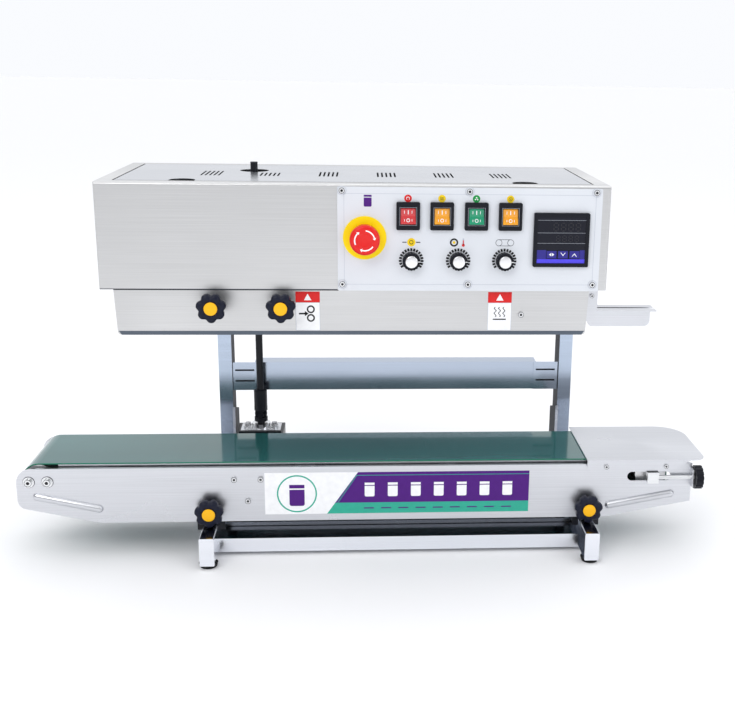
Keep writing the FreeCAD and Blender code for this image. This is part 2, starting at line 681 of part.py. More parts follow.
def fan_frame():
    """A square axial fan frame with a hub carried by four arms."""
    block = box("fan_block", (FAN_X - 36, FAN_X + 36), (150, 175), (FAN_Z - 36, FAN_Z + 36))
    bore = rod("fan_throat", "y", 33, (FAN_X, FAN_Z), (149, 176))
    hub = rod("fan_hub", "y", 12, (FAN_X, FAN_Z), (171, 175))
    arms = [box("fan_arm", (FAN_X - 34, FAN_X + 34), (172, 175), (FAN_Z - 2, FAN_Z + 2)),
            box("fan_arm", (FAN_X - 2, FAN_X + 2), (172, 175), (FAN_Z - 34, FAN_Z + 34))]
    pin = rod("fan_pin", "y", 2.5, (FAN_X, FAN_Z), (154, 172))
    foot_block = box("fan_foot", (FAN_X - 30, FAN_X + 30), (152, 173),
                     ("head_floor + base_thick", FAN_Z - 36))
    return fuse("fan_frame", [cut("fan_ring", block, [bore]), hub, pin, foot_block] + arms)


node("fan_housing", fan_frame())


def fan_wheel():
    """The fan's hub with seven pitched blades."""
    hub = rod("wheel_hub", "y", 11, (FAN_X, FAN_Z), (153, 169))
    blades = []
    for n in range(7):
        blade = doc.addObject("Part::Box", fresh("fan_blade"))
        blade.Length, blade.Width, blade.Height = 21, 1.6, 13
        spin = FreeCAD.Rotation(FreeCAD.Vector(0, 1, 0), n * 360 / 7)
        pitch = FreeCAD.Rotation(FreeCAD.Vector(1, 0, 0), 40)
        centre = FreeCAD.Vector(FAN_X, 161, FAN_Z)
        blade.Placement = FreeCAD.Placement(centre, spin * pitch).multiply(
            FreeCAD.Placement(FreeCAD.Vector(10, -0.8, -6.5), FreeCAD.Rotation()))
        blades.append(blade)
    bore = rod("wheel_bore", "y", "2.5 + running", (FAN_X, FAN_Z), (150, 175))
    return cut("fan_wheel", fuse("fan_wheel_solid", [hub] + blades), [bore])


node("fan_rotor", fan_wheel())


def power_unit():
    """The transformer and speed board on a tray at the back of the head."""
    tray = box("unit_tray", (180, 300), (60, 150),
               ("head_floor + base_thick", "head_floor + base_thick + 2"))
    core = rounded("unit_core",
                   box("unit_block", (190, 250), (75, 135), ("head_floor + base_thick + 2", 425)), 3,
                   lambda edge: along(edge, "z"))
    board = box("unit_board", (258, 294), (68, 142), ("head_floor + base_thick + 2", 392))
    return fuse("power_unit", [tray, core, board])


node("power_supply", power_unit())


def gland():
    """The mains cable gland in the back wall: flanged body, lock nut and a free bore."""
    body = rod("gland_body", "y", 7.8, (-300, 392), ("head_back - 12", "head_back"))
    nut = rod("gland_nut", "y", 11, (-300, 392), ("head_back - sheet - 5", "head_back - sheet"))
    bore = rod("gland_bore", "y", 4, (-300, 392), ("head_back - 20", "head_back + 20"))
    return cut("gland", fuse("gland_solid", [body, nut]), [bore])


node("cable_gland", gland())

# ---------------------------------------------------------------- sealing train


def gear(name, place, pitch, teeth, tall, phase=0.0):
    """A spur gear with trapezoid teeth; phase is the first tooth's angle in degrees."""
    root, tip = pitch - 1.9, pitch + 1.5
    step = 360 / teeth
    points = []
    for n in range(teeth):
        for offset, radius in ((-0.30, root), (-0.13, tip), (0.13, tip), (0.30, root)):
            angle = math.radians(phase + step * (n + offset))
            points.append(FreeCAD.Vector(radius * math.cos(angle), radius * math.sin(angle), 0))
    points.append(points[0])
    profile = Part.Face(Part.makePolygon(points))
    profile.translate(FreeCAD.Vector(number(place[0]), number(place[1]), tall[0]))
    wheel = doc.addObject("Part::Feature", fresh(name))
    wheel.Shape = profile.extrude(FreeCAD.Vector(0, 0, tall[1] - tall[0]))
    return wheel


GEAR_SPAN = (DIMS["gear_low"], DIMS["gear_high"])
SMALL_TEETH, SHAFT_TEETH = 24, 56
SHAFT_PITCH = DIMS["gear_pitch"] * SHAFT_TEETH / SMALL_TEETH


def drive_spindle(name, side, phase, top):
    """A belt pulley and gear on one vertical spindle."""
    place = ("drive_pulley_x", SPINDLES[side])
    pulley = rod(name + "_pulley", "z", "pulley_radius", place, ("seal_low", "seal_high"))
    shaft = rod(name + "_shaft", "z", "spindle_radius", place, ("seal_low - 4", top))
    collar = rod(name + "_collar", "z", 10, place, ("seal_high", "seal_high + 10"))
    return fuse(name, [pulley, collar, shaft, gear(name + "_gear", place, DIMS["gear_pitch"], SMALL_TEETH,
                                                   GEAR_SPAN, phase)])


HALF_STEP = 180 / SMALL_TEETH
node("rear_drive_spindle", drive_spindle("rear_spindle", "back", 0, 401))
node("front_drive_spindle", drive_spindle("front_spindle", "front", HALF_STEP, 391))


def pinned_wheel(name, place, radius, low="seal_low", high="seal_high"):
    """A wheel that runs on a fixed pin."""
    disc = rod(name + "_disc", "z", radius, place, (low, high))
    return cut(name, disc,
               [rod(name + "_bore", "z", "pin_radius + running", place, (f"{low} - 5", f"{high} + 5"))])


node("front_idle_pulley", pinned_wheel("front_idler", IDLER_PINS[0], "pulley_radius"))
node("rear_idle_pulley", pinned_wheel("rear_idler", IDLER_PINS[1], "pulley_radius"))
node("press_wheel", pinned_wheel("press_roll", IDLER_PINS[2], "press_radius"))
node("press_anvil", pinned_wheel("press_backing", IDLER_PINS[3], "press_radius"))
node("coder_wheel", pinned_wheel("coder_roll", IDLER_PINS[4], "coder_radius"))


def sliding_gear():
    """The gear that turns the conveyor shaft and lets it slide through."""
    x, y = number("drive_x"), number("shaft_y")
    wheel = gear("shaft_wheel", ("drive_x", "shaft_y"), SHAFT_PITCH, SHAFT_TEETH, GEAR_SPAN,
                 180 / SHAFT_TEETH)
    hub = rod("shaft_wheel_hub", "z", 12, (x, y), ("head_floor + base_thick + 0.4", 396))
    bore = rod("shaft_wheel_bore", "z", "shaft_radius + running", (x, y), (360, 400))
    return cut("sliding_gear", fuse("sliding_gear_solid", [wheel, hub]), [bore])


node("shaft_gear", sliding_gear())

# ---------------------------------------------------------------- conveyor
FRONT_INNER, BACK_INNER = "plate_front + plate_thick", "plate_back - plate_thick"
DRIVE_SCREWS = [("drive_x - 20", 110), ("drive_x + 16", 110), ("drive_x - 2", 78.6)]
HEAD_BOLTS = [("head_roller_x - 12.3", "roller_z"), ("head_roller_x + 12.3", "roller_z")]
TENSION_Y = {"front": "plate_front - 5", "back": "plate_back + 5"}
CLAMP_Z = 66.5


def rib(name, start, end, y):
    """A pressed stiffening rib on a side plate."""
    return outline_body(name, "xz", [(start[0], start[1] - 5), (end[0], end[1] - 5),
                                     (end[0], end[1] + 5), (start[0], start[1] + 5)], y)


def side_plate(name, side):
    """A conveyor side plate: sheet outline, rolled top edge, ribs and end flange."""
    front = side == "front"
    y = ("plate_front", FRONT_INNER) if front else (BACK_INNER, "plate_back")
    sheet_body = outline_body(name + "_sheet", "xz", [
        ("conveyor_left", "plate_top"), ("conveyor_left", 72), (-366, "plate_low"), (334, "plate_low"),
        ("conveyor_right", 71), ("conveyor_right", "plate_top")], y, [(0, 20), (1, 13), (2, 20), (3, 20)])
    edge_y = (FRONT_INNER, "plate_front + 5") if front else ("plate_back - 4.2", BACK_INNER)
    top_edge = box(name + "_top_edge", ("conveyor_left + 26", "conveyor_right - 2"), edge_y,
                   ("plate_top - plate_thick", "plate_top"))
    flange_y = ("plate_front - 11", "plate_front") if front else ("plate_back", "plate_back + 11")
    flange = box(name + "_flange", ("conveyor_right - 2", "conveyor_right"), flange_y, (96, 121))
    rib_y = ("plate_front - 1", "plate_front") if front else ("plate_back", "plate_back + 1")
    ribs = [rib(name + "_rib", (-449, 88), (-364, 69), rib_y),
            rib(name + "_rib", (337, 66), (428, 83), rib_y)]
    through = (f"{y[0]} - 12", f"{y[1]} + 12")
    slot_ends = ("tail_roller_x - 28.4", "tail_roller_x + 20.4")
    slot = [box(name + "_slot", slot_ends, through, ("roller_z - 6.6", "roller_z + 6.6"))]
    slot += [rod(name + "_slot_end", "y", 6.6, (x, "roller_z"), through) for x in slot_ends]
    holes = [rod(name + "_stud_hole", "y", "stud_radius + running", (leg, CLAMP_Z), through)
             for leg in LEGS]
    holes.append(rod(name + "_screw_hole", "x", 3.05, (TENSION_Y[side], "roller_z"),
                     ("conveyor_right - 6", "conveyor_right + 6")))
    if not front:
        holes.append(rod(name + "_axle_bore", "y", "axle_radius + running", ("drive_x", "drive_z"),
                         through))
    return cut(name, fuse(name + "_solid", [sheet_body, top_edge, flange] + ribs), slot + holes)


node("front_side_plate", side_plate("front_plate", "front"))
node("rear_side_plate", side_plate("rear_plate", "back"))


def bed():
    """The slider bed under the belt's top run, with ears to both side plates."""
    top = "belt_top - belt_thick - free_gap"
    deck = box("bed_deck", ("head_roller_x + 26", "tail_roller_x - 33"), ("belt_front", "belt_back"),
               (f"{top} - 2", top))
    skirts = [box("bed_skirt", ("head_roller_x + 26", "tail_roller_x - 33"), y, (112, f"{top} - 2"))
              for y in (("belt_front", "belt_front + 2"), ("belt_back - 2", "belt_back"))]
    relief = box("bed_relief", ("drive_x - 20", "drive_x + 20"), ("belt_front + 2.5", "belt_back - 2.5"),
                 (100, f"{top} - 2.5"))
    ears = []
    for x in (-380, -100, 100, 250):
        ears.append(box("bed_ear", (x, x + 24), (FRONT_INNER, "belt_front"), (112, 123)))
        ears.append(box("bed_ear", (x, x + 24), ("belt_back", BACK_INNER), (112, 123)))
    return cut("bed", fuse("bed_solid", [deck] + skirts + ears), [relief])


node("bed_plate", bed())
node("conveyor_belt", belt_loop("bag_belt", "y", ("head_roller_x", "tail_roller_x"), "roller_z",
                                "roller_radius + free_gap", "belt_thick", ("belt_front", "belt_back")))


def cover():
    """The fixed feed plate over the belt's infeed end."""
    top = outline_body("cover_top_sheet", "xy",
                       [("cover_left", -130), ("cover_right", -130), ("cover_right", 15),
                        ("cover_left", 15)], ("cover_top - sheet", "cover_top"),
                       [(1, 16), (2, 42)])
    apron = outline_body("cover_apron", "xz",
                         [("cover_left", 118.5), (424, 118.5), (452, "cover_top - sheet"),
                          ("cover_left", "cover_top - sheet")], (-130, -128.5),
                         [(0, 9)])
    back = box("cover_back", ("cover_left + 4", 420), (13.5, 15), (119, "cover_top - sheet"))
    left_lip = box("cover_lip", ("cover_left", "cover_left + 1.5"), (-128.5, 13.5), (133.1, 133.6))
    return fuse("cover", [top, apron, back, left_lip])


node("end_cover", cover())


def bridge():
    """The bracket behind the conveyor that carries the upright spindle's flange bearing."""
    x_low, x_high = "drive_x - 35", "drive_x + 35"
    cheeks = [box("bridge_cheek", span, ("plate_back", "shaft_y + 21"), (74, "bridge_z"))
              for span in ((x_low, f"{x_low} + 3"), (f"{x_high} - 3", x_high))]
    top = box("bridge_top", (x_low, x_high), ("shaft_y - 21", "shaft_y + 21"),
              ("bridge_z - 3", "bridge_z"))
    ring = rod("bridge_bearing", "z", 14, ("drive_x", "shaft_y"), ("bridge_z", "bridge_z + 8"))
    wings = rounded("bridge_wings", box("bridge_wing_block", ("drive_x - 26", "drive_x + 26"),
                                        ("shaft_y - 10", "shaft_y + 10"), ("bridge_z", "bridge_z + 4")),
                    6,
                    lambda edge: along(edge, "z"))
    bore = rod("bridge_bore", "z", "shaft_radius + running", ("drive_x", "shaft_y"), (100, 140))
    return cut("bridge", fuse("bridge_solid", cheeks + [top, ring, wings]), [bore])


node("shaft_bridge", bridge())


def conveyor_fixings():
    """Screws and washered bolts on both side plates and the feed plate's apron."""
    heads = []
    for side, face, sign in (("front", "plate_front", -1), ("back", "plate_back", 1)):
        if side == "front":
            heads += [screw("drive_screw", "y", place, face, sign) for place in DRIVE_SCREWS]
        for place in HEAD_BOLTS:
            span = (f"{face} - 1.2", face) if sign < 0 else (face, f"{face} + 1.2")
            washer = rod("bolt_washer", "y", 7.5, place, span)
            lift = f"{face} - 1.2" if sign < 0 else f"{face} + 1.2"
            heads.append(fuse("washered_bolt",
                              [washer, screw("roller_bolt", "y", place, lift, sign, 5, 3.6)]))
    heads += [screw("cover_screw", "y", (x, 125), -130, -1, 3.4, 2) for x in (332, 416.8)]
    return group("conveyor_fixings", heads)


node("conveyor_screws", conveyor_fixings())


def driven_drum():
    """The belt's drive roller with its axle and bevel wheel."""
    drum = rod("drum", "y", "drive_radius", ("drive_x", "drive_z"), ("belt_front", "belt_back - 1"))
    axle = rod("drum_axle", "y", "axle_radius", ("drive_x", "drive_z"),
               (f"{FRONT_INNER} + free_gap", "shaft_y - 15"))
    bevel = cone("drum_bevel", "y", 15.6, 7.6, ("drive_x", "drive_z"), ("shaft_y - 16", "shaft_y - 8"))
    return fuse("driven_drum", [drum, axle, bevel])


node("drive_roller", driven_drum())


def end_roller():
    """The roller at the discharge end, live on its own axle."""
    place = ("head_roller_x", "roller_z")
    drum = rod("head_drum", "y", "roller_radius", place, ("belt_front", "belt_back"))
    axle = rod("head_axle", "y", "axle_radius", place,
               (f"{FRONT_INNER} + free_gap", f"{BACK_INNER} - free_gap"))
    return fuse("end_roller", [drum, axle])


node("head_roller", end_roller())


def tension_axle():
    """The dead axle of the infeed roller with its two sliding blocks."""
    place = ("tail_roller_x", "roller_z")
    axle = rod("tail_rod", "y", "axle_radius", place, ("plate_front - 9", "plate_back + 9"))
    blocks = [box("tension_block", ("tail_roller_x - 8", "tail_roller_x + 8"), y,
                  ("roller_z - 8", "roller_z + 8"))
              for y in (("plate_front - 9", "plate_front - 0.3"), ("plate_back + 0.3", "plate_back + 9"))]
    return fuse("tension_axle", [axle] + blocks)


node("tail_axle", tension_axle())
tail_drum = rod("tail_drum", "y", "roller_radius", ("tail_roller_x", "roller_z"),
                ("belt_front", "belt_back"))
tail_bore = rod("tail_drum_bore", "y", "axle_radius + running", ("tail_roller_x", "roller_z"),
                ("belt_front - 5", "belt_back + 5"))
node("tail_roller", cut("tail_drum_bored", tail_drum, [tail_bore]))


def tension_knob(name, y):
    """A tensioning screw with its knurled hand knob."""
    stem = rod(name + "_screw", "x", 3, (y, "roller_z"), ("tail_roller_x + 8.3", "conveyor_right + 4"))
    knob = rod(name + "_knob", "x", 16.5, (y, "roller_z"), ("conveyor_right + 2", "conveyor_right + 12"))
    grooves = []
    for n in range(14):
        angle = math.radians(360 / 14 * n)
        grooves.append(rod(name + "_groove", "x", 1.9,
                           (f"{y} + {17.2 * math.cos(angle):.3f}",
                            f"roller_z + {17.2 * math.sin(angle):.3f}"),
                           ("conveyor_right + 1", "conveyor_right + 13")))
    return fuse(name, [cut(name + "_fluted", knob, grooves), stem])


node("front_tension_knob", tension_knob("front_tensioner", TENSION_Y["front"]))
node("rear_tension_knob", tension_knob("rear_tensioner", TENSION_Y["back"]))


def star_knob(name, place, face, seat, stud_end):
    """A seven-lobed star knob with a cap, a neck and a threaded stud, facing the front."""
    x, z = number(place[0]), number(place[1])
    disc = rod(name + "_disc", "y", "star_radius", place, (face, f"{face} + star_thick"))
    lobes = []
    for n in range(7):
        angle = math.radians(360 / 7 * (n + 0.5) + 90)
        lobes.append(rod(name + "_scallop", "y", 5,
                         (x + 22.5 * math.cos(angle), z + 22.5 * math.sin(angle)),
                         (f"{face} - 1", f"{face} + star_thick + 1")))
    cap = rod(name + "_cap", "y", "cap_radius", place, (f"{face} - 1.2", face))
    neck = rod(name + "_neck", "y", 8, place, (f"{face} + star_thick", f"{seat} - free_gap"))
    stud = rod(name + "_stud", "y", "stud_radius", place, (f"{seat} - free_gap", stud_end))
    return fuse(name, [cut(name + "_star", disc, lobes), cap, neck, stud])


node("left_pressure_knob", star_knob("left_pressure", (-206, 348.5), -125, "guard_front", -62))
node("right_pressure_knob", star_knob("right_pressure", (-115, 348.5), -125, "guard_front", -62))
node("left_clamp_knob", star_knob("left_clamp", ("leg_left", CLAMP_Z), -147.5, "plate_front", -118.5))
node("right_clamp_knob", star_knob("right_clamp", ("leg_right", CLAMP_Z), -147.5, "plate_front", -118.5))

# ---------------------------------------------------------------- conveyor drive shaft
SHAFT = ("drive_x", "shaft_y")


def cardan():
    """The universal joint, its lower spindle and the bevel pinion."""
    spindle = rod("joint_spindle", "z", "shaft_radius", SHAFT, ("drive_z + 9", "bridge_z + 12"))
    pinion = cone("joint_pinion", "z", 7.6, 15.6, SHAFT, ("drive_z + 8", "drive_z + 16"))
    lower = rod("lower_hub", "z", 10, SHAFT, ("bridge_z + 11", "bridge_z + 17"))
    upper = rod("upper_hub", "z", 10, SHAFT, ("bridge_z + 28", "bridge_z + 34"))
    x, y = number("drive_x"), number("shaft_y")
    ears = [box("lower_ear", (x + side - 2, x + side + 2), (y - 4, y + 4),
                ("bridge_z + 16", "bridge_z + 27"))
            for side in (-6.5, 6.5)]
    ears += [box("upper_ear", (x - 4, x + 4), (y + side - 2, y + side + 2),
                 ("bridge_z + 18", "bridge_z + 29"))
             for side in (-6.5, 6.5)]
    height = ("bridge_z + 20.5", "bridge_z + 24.5")
    arms = [box("cross_arm", (x - 9.1, x + 9.1), (y - 2, y + 2), height),
            box("cross_arm", (x - 2, x + 2), (y - 9.1, y + 9.1), height)]
    return fuse("cardan", [spindle, pinion, lower, upper] + ears + arms)


node("universal_joint", cardan())


def long_shaft():
    """The upright drive shaft with the clamp coupling at its foot."""
    coupling = rounded("shaft_coupling",
                       rod("coupling_rod", "z", 9.85, SHAFT, ("bridge_z + 34", "bridge_z + 60")), 1,
                       lambda edge: edge.CenterOfMass.z > 179)
    bar = rod("shaft_bar", "z", "shaft_radius", SHAFT, ("bridge_z + 58", "shaft_top"))
    return fuse("long_shaft", [coupling, bar])


node("drive_shaft", long_shaft())

# ---------------------------------------------------------------- check and write
doc.recompute()
for item in doc.Objects:
    if "Invalid" in item.State or "Error" in item.State:
        raise RuntimeError(f"{item.Name} did not build")
os.makedirs("parts", exist_ok=True)
for name, obj in NODES.items():
    if obj.Shape.isNull() or not obj.Shape.isValid():
        raise RuntimeError(f"{name} has a bad shape")
    obj.Shape.exportStep(f"parts/{name}.step")
print(len(NODES), "sub-parts written")
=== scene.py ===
import math

import bmesh
import bpy
from mathutils import Matrix, Vector


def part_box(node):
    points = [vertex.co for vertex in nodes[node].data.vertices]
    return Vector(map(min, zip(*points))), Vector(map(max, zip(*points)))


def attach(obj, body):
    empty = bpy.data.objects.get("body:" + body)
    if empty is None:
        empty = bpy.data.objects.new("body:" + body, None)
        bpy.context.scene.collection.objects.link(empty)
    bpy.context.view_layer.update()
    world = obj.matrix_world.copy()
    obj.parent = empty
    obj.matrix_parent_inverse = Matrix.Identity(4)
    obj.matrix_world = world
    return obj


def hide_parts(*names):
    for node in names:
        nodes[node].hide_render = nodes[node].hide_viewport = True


# Looks of the continuous band sealer.  Metres, in the CAD frame: X along the conveyor, Y to the back, Z up.

MM = 0.001
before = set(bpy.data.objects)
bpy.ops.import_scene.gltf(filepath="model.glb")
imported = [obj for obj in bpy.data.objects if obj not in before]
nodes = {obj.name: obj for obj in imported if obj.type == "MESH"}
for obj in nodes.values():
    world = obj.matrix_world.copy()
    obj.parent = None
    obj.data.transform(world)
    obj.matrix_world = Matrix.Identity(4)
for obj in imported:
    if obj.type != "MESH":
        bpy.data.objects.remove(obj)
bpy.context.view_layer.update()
scene = bpy.context.scene


# ---------------------------------------------------------------- materials
def new_material(name, color, roughness, metallic=0.0, **sockets):
    """A Principled material; other sockets are given with underscores for spaces."""
    mat = bpy.data.materials.new(name)
    mat.use_nodes = True
    inputs = mat.node_tree.nodes["Principled BSDF"].inputs
    inputs["Base Color"].default_value = (*color, 1)
    inputs["Roughness"].default_value = roughness
    inputs["Metallic"].default_value = metallic
    for socket, value in sockets.items():
        inputs[socket.replace("_", " ")].default_value = value
    return mat


def noise(mat, scale, stretch=(1, 1, 1), detail=3):
    """The Fac output of a noise in object coordinates, stretched per axis."""
    tree = mat.node_tree
    place = tree.nodes.new("ShaderNodeTexCoord")
    mapping = tree.nodes.new("ShaderNodeMapping")
    mapping.inputs["Scale"].default_value = stretch
    texture = tree.nodes.new("ShaderNodeTexNoise")
    texture.inputs["Scale"].default_value = scale
    texture.inputs["Detail"].default_value = detail
    tree.links.new(place.outputs["Object"], mapping.inputs["Vector"])
    tree.links.new(mapping.outputs["Vector"], texture.inputs["Vector"])
    return texture.outputs["Fac"]


def map_range(tree, fac, from_low, from_high, to_low, to_high):
    """The Result of a map range node on fac."""
    node = tree.nodes.new("ShaderNodeMapRange")
    for socket, value in (("From Min", from_low), ("From Max", from_high),
                          ("To Min", to_low), ("To Max", to_high)):
        node.inputs[socket].default_value = value
    tree.links.new(fac, node.inputs["Value"])
    return node.outputs["Result"]


NOISE_LOW, NOISE_HIGH = 0.3, 0.7


def remap(mat, fac, low, high):
    """A noise factor stretched to low..high."""
    return map_range(mat.node_tree, fac, NOISE_LOW, NOISE_HIGH, low, high)


def vary_roughness(mat, fac, low, high):
    shader = mat.node_tree.nodes["Principled BSDF"]
    mat.node_tree.links.new(remap(mat, fac, low, high), shader.inputs["Roughness"])


def vary_color(mat, fac, dark, light):
    """The base colour runs from dark to light with the factor."""
    tree = mat.node_tree
    mix = tree.nodes.new("ShaderNodeMix")
    mix.data_type = "RGBA"
    colors = [socket for socket in mix.inputs if socket.type == "RGBA"]
    colors[0].default_value = (*dark, 1)
    colors[1].default_value = (*light, 1)
    tree.links.new(remap(mat, fac, 0, 1), mix.inputs["Factor"])
    result = [socket for socket in mix.outputs if socket.type == "RGBA"][0]
    tree.links.new(result, tree.nodes["Principled BSDF"].inputs["Base Color"])


def add_bump(mat, fac, strength, distance):
    tree = mat.node_tree
    bump = tree.nodes.new("ShaderNodeBump")
    bump.inputs["Strength"].default_value = strength
    bump.inputs["Distance"].default_value = distance
    tree.links.new(fac, bump.inputs["Height"])
    tree.links.new(bump.outputs["Normal"], tree.nodes["Principled BSDF"].inputs["Normal"])


SIDEWAYS = 0.7
GRAIN_ALONG, GRAIN_ACROSS = 6, 1300


def grain(mat):
    """Brushing lines: along X, and along Y on faces that look sideways."""
    tree = mat.node_tree
    lines = noise(mat, 1, (GRAIN_ALONG, GRAIN_ACROSS, GRAIN_ACROSS), 4)
    end_lines = noise(mat, 1, (GRAIN_ACROSS, GRAIN_ALONG, GRAIN_ACROSS), 4)
    place = tree.nodes.new("ShaderNodeTexCoord")
    split = tree.nodes.new("ShaderNodeSeparateXYZ")
    tree.links.new(place.outputs["Normal"], split.inputs["Vector"])
    side = tree.nodes.new("ShaderNodeMath")
    side.operation = "ABSOLUTE"
    tree.links.new(split.outputs["X"], side.inputs[0])
    choose = tree.nodes.new("ShaderNodeMath")
    choose.operation = "GREATER_THAN"
    choose.inputs[1].default_value = SIDEWAYS
    tree.links.new(side.outputs["Value"], choose.inputs[0])
    mix = tree.nodes.new("ShaderNodeMix")
    mix.data_type = "FLOAT"
    tree.links.new(choose.outputs["Value"], mix.inputs["Factor"])
    floats = [socket for socket in mix.inputs if socket.type == "VALUE"]
    tree.links.new(lines, floats[1])
    tree.links.new(end_lines, floats[2])
    return [socket for socket in mix.outputs if socket.type == "VALUE"][0]


def brushed_steel(name, color, rough, contrast=0.06, anisotropic=0.5):
    """Stainless sheet with a fine directional grain and a few cloudy wipe marks."""
    mat = new_material(name, color, rough, 1.0, Anisotropic=anisotropic)
    lines = grain(mat)
    dark = [value * (1 - contrast) for value in color]
    light = [min(1, value * (1 + contrast)) for value in color]
    vary_color(mat, lines, dark, light)
    vary_roughness(mat, noise(mat, 7, (0.6, 1, 1), 5), rough * 0.8, rough * 1.25)
    add_bump(mat, lines, 0.06, 0.00005)
    return mat


def moulded(name, color, rough, texture, **sockets):
    """Moulded plastic or rubber with a fine pitted skin and uneven gloss."""
    mat = new_material(name, color, rough, 0.0, **sockets)
    add_bump(mat, noise(mat, texture, detail=2), 0.12, 0.0001)
    vary_roughness(mat, noise(mat, 40, detail=4), rough * 0.82, min(1, rough * 1.2))
    return mat


def painted(name, color, rough, **sockets):
    """Sprayed or powder paint with a faint orange peel."""
    mat = new_material(name, color, rough, 0.0, **sockets)
    add_bump(mat, noise(mat, 420, detail=2), 0.05, 0.00012)
    shade = [value * 0.96 for value in color]
    vary_color(mat, noise(mat, 9, detail=3), shade, color)
    return mat


def belt_material():
    """Glossy dark green PVC, with the faint weave of its carcass and dulled travel marks."""
    mat = new_material("belt_green_pvc", (0.020, 0.120, 0.118), 0.10, 0.0, Specular_IOR_Level=0.5,
                       Coat_Weight=0.3, Coat_Roughness=0.04)
    vary_color(mat, noise(mat, 5, (0.5, 2, 2), 4), (0.016, 0.104, 0.102), (0.024, 0.136, 0.134))
    add_bump(mat, noise(mat, 1, (650, 650, 650), 1), 0.02, 0.00003)
    vary_roughness(mat, noise(mat, 1, (3, 60, 3), 4), 0.08, 0.14)
    return mat


STEEL = brushed_steel("steel_brushed_front", (0.60, 0.60, 0.60), 0.34)
LID_STEEL = brushed_steel("steel_lid", (0.55, 0.565, 0.60), 0.22, 0.03, 0.3)
PLATE_STEEL = brushed_steel("steel_conveyor", (0.64, 0.65, 0.68), 0.3)
TUBE_STEEL = brushed_steel("steel_tube", (0.87, 0.89, 0.94), 0.16, 0.03, 0.2)
FOOT_TOP_SHADE_STEEL = brushed_steel("steel_foot_top_painted_shade", (0.24, 0.26, 0.31), 0.12, 0.03, 0.2)
REST_STEEL = brushed_steel("steel_bag_rest", (0.44, 0.50, 0.60), 0.16, 0.03, 0.2)
MACHINED = brushed_steel("steel_machined", (0.42, 0.42, 0.43), 0.3, 0.1, 0.2)
ALUMINIUM = brushed_steel("aluminium_milled", (0.75, 0.75, 0.76), 0.36, 0.05, 0.2)
COPPER = brushed_steel("copper_bars", (0.72, 0.38, 0.22), 0.3, 0.08, 0.1)
BELT = belt_material()
BELT_EDGE_REFLECTION = moulded("belt_edge_painted_reflection", (0.012, 0.20, 0.12), 0.5, 600, Specular_IOR_Level=0.3)
WHITE_PANEL = painted("panel_white_paint", (0.715, 0.74, 0.785), 0.32, Coat_Weight=0.25)
# black paint; on the shaft bridge it stands for painted shade
BLACK_PAINT_AND_SHADE = painted("black_paint_and_bridge_shade", (0.010, 0.011, 0.016), 0.34, Specular_IOR_Level=0.25)
POST_INNER_SHADE = painted("post_inner_painted_shade", (0.020, 0.022, 0.030), 0.6, Specular_IOR_Level=0.15)
GREY_ENAMEL = painted("motor_grey_enamel", (0.13, 0.15, 0.18), 0.35)
NAVY = moulded("knob_navy", (0.006, 0.008, 0.022), 0.36, 700, Specular_IOR_Level=0.22)
BLACK = moulded("plastic_black", (0.006, 0.007, 0.012), 0.36, 800, Specular_IOR_Level=0.2)
RUBBER = moulded("rubber_black", (0.009, 0.009, 0.011), 0.72, 500, Specular_IOR_Level=0.25)
POST_STEEL = brushed_steel("steel_post", (0.44, 0.51, 0.62), 0.2, 0.08, 0.2)
HEM_SHADE_STEEL = brushed_steel("steel_hem_painted_shade", (0.11, 0.13, 0.16), 0.3, 0.1, 0.2)
BRIGHT = brushed_steel("steel_plated", (0.78, 0.79, 0.80), 0.26, 0.03, 0.1)
GREY_RUBBER = moulded("rubber_grey", (0.09, 0.09, 0.09), 0.6, 500)
YELLOW = moulded("cap_yellow", (0.98, 0.50, 0.003), 0.36, 500, Coat_Weight=0.1, Specular_IOR_Level=0.3)
LEGEND = moulded("legend_yellow", (1.0, 0.76, 0.0), 0.42, 900, Specular_IOR_Level=0.25)
RED = moulded("stop_red", (0.74, 0.012, 0.010), 0.3, 500, Coat_Weight=0.1, Specular_IOR_Level=0.3)
GLASS_BLACK = new_material("display_black", (0.006, 0.007, 0.015), 0.14, 0.0, Specular_IOR_Level=0.25)
add_bump(GLASS_BLACK, noise(GLASS_BLACK, 60), 0.03, 0.0001)
SEAL_BELT = moulded("seal_belt_ptfe", (0.24, 0.13, 0.05), 0.4, 1500)


def lens(name, color):
    """A translucent moulded switch key."""
    return moulded(name, color, 0.22, 400, Coat_Weight=0.5, Subsurface_Weight=0.12)


LENS_RED = lens("lens_red", (0.66, 0.045, 0.05))
LENS_AMBER = lens("lens_amber", (0.92, 0.36, 0.02))
LENS_GREEN = lens("lens_green", (0.012, 0.30, 0.15))


INK_ROUGHNESS = 0.42


def ink(name, color):
    """A printed film, very slightly uneven."""
    mat = new_material(name, color, INK_ROUGHNESS, 0.0, Specular_IOR_Level=0.25)
    vary_color(mat, noise(mat, 120, detail=2), [v * 0.93 for v in color], color)
    return mat


INK_WHITE = ink("ink_white", (0.95, 0.955, 0.97))
INK_BLACK = ink("ink_black", (0.008, 0.008, 0.010))
INK_GREY = ink("ink_grey", (0.30, 0.32, 0.36))
INK_DARK = ink("ink_dark", (0.06, 0.065, 0.08))
INK_LINE = ink("ink_line", (0.52, 0.55, 0.62))
INK_PURPLE = ink("ink_purple", (0.078, 0.008, 0.205))
INK_TEAL = ink("ink_teal", (0.035, 0.42, 0.30))
INK_RED = ink("ink_red", (0.72, 0.02, 0.02))
INK_YELLOW = ink("ink_yellow", (0.88, 0.62, 0.01))
INK_GREEN = ink("ink_green", (0.01, 0.30, 0.06))
INK_BLUE = ink("ink_blue", (0.035, 0.03, 0.26))
INK_BRIGHT_BLUE = ink("ink_bright_blue", (0.09, 0.07, 0.80))
INK_SEGMENT = ink("ink_segment", (0.020, 0.020, 0.026))

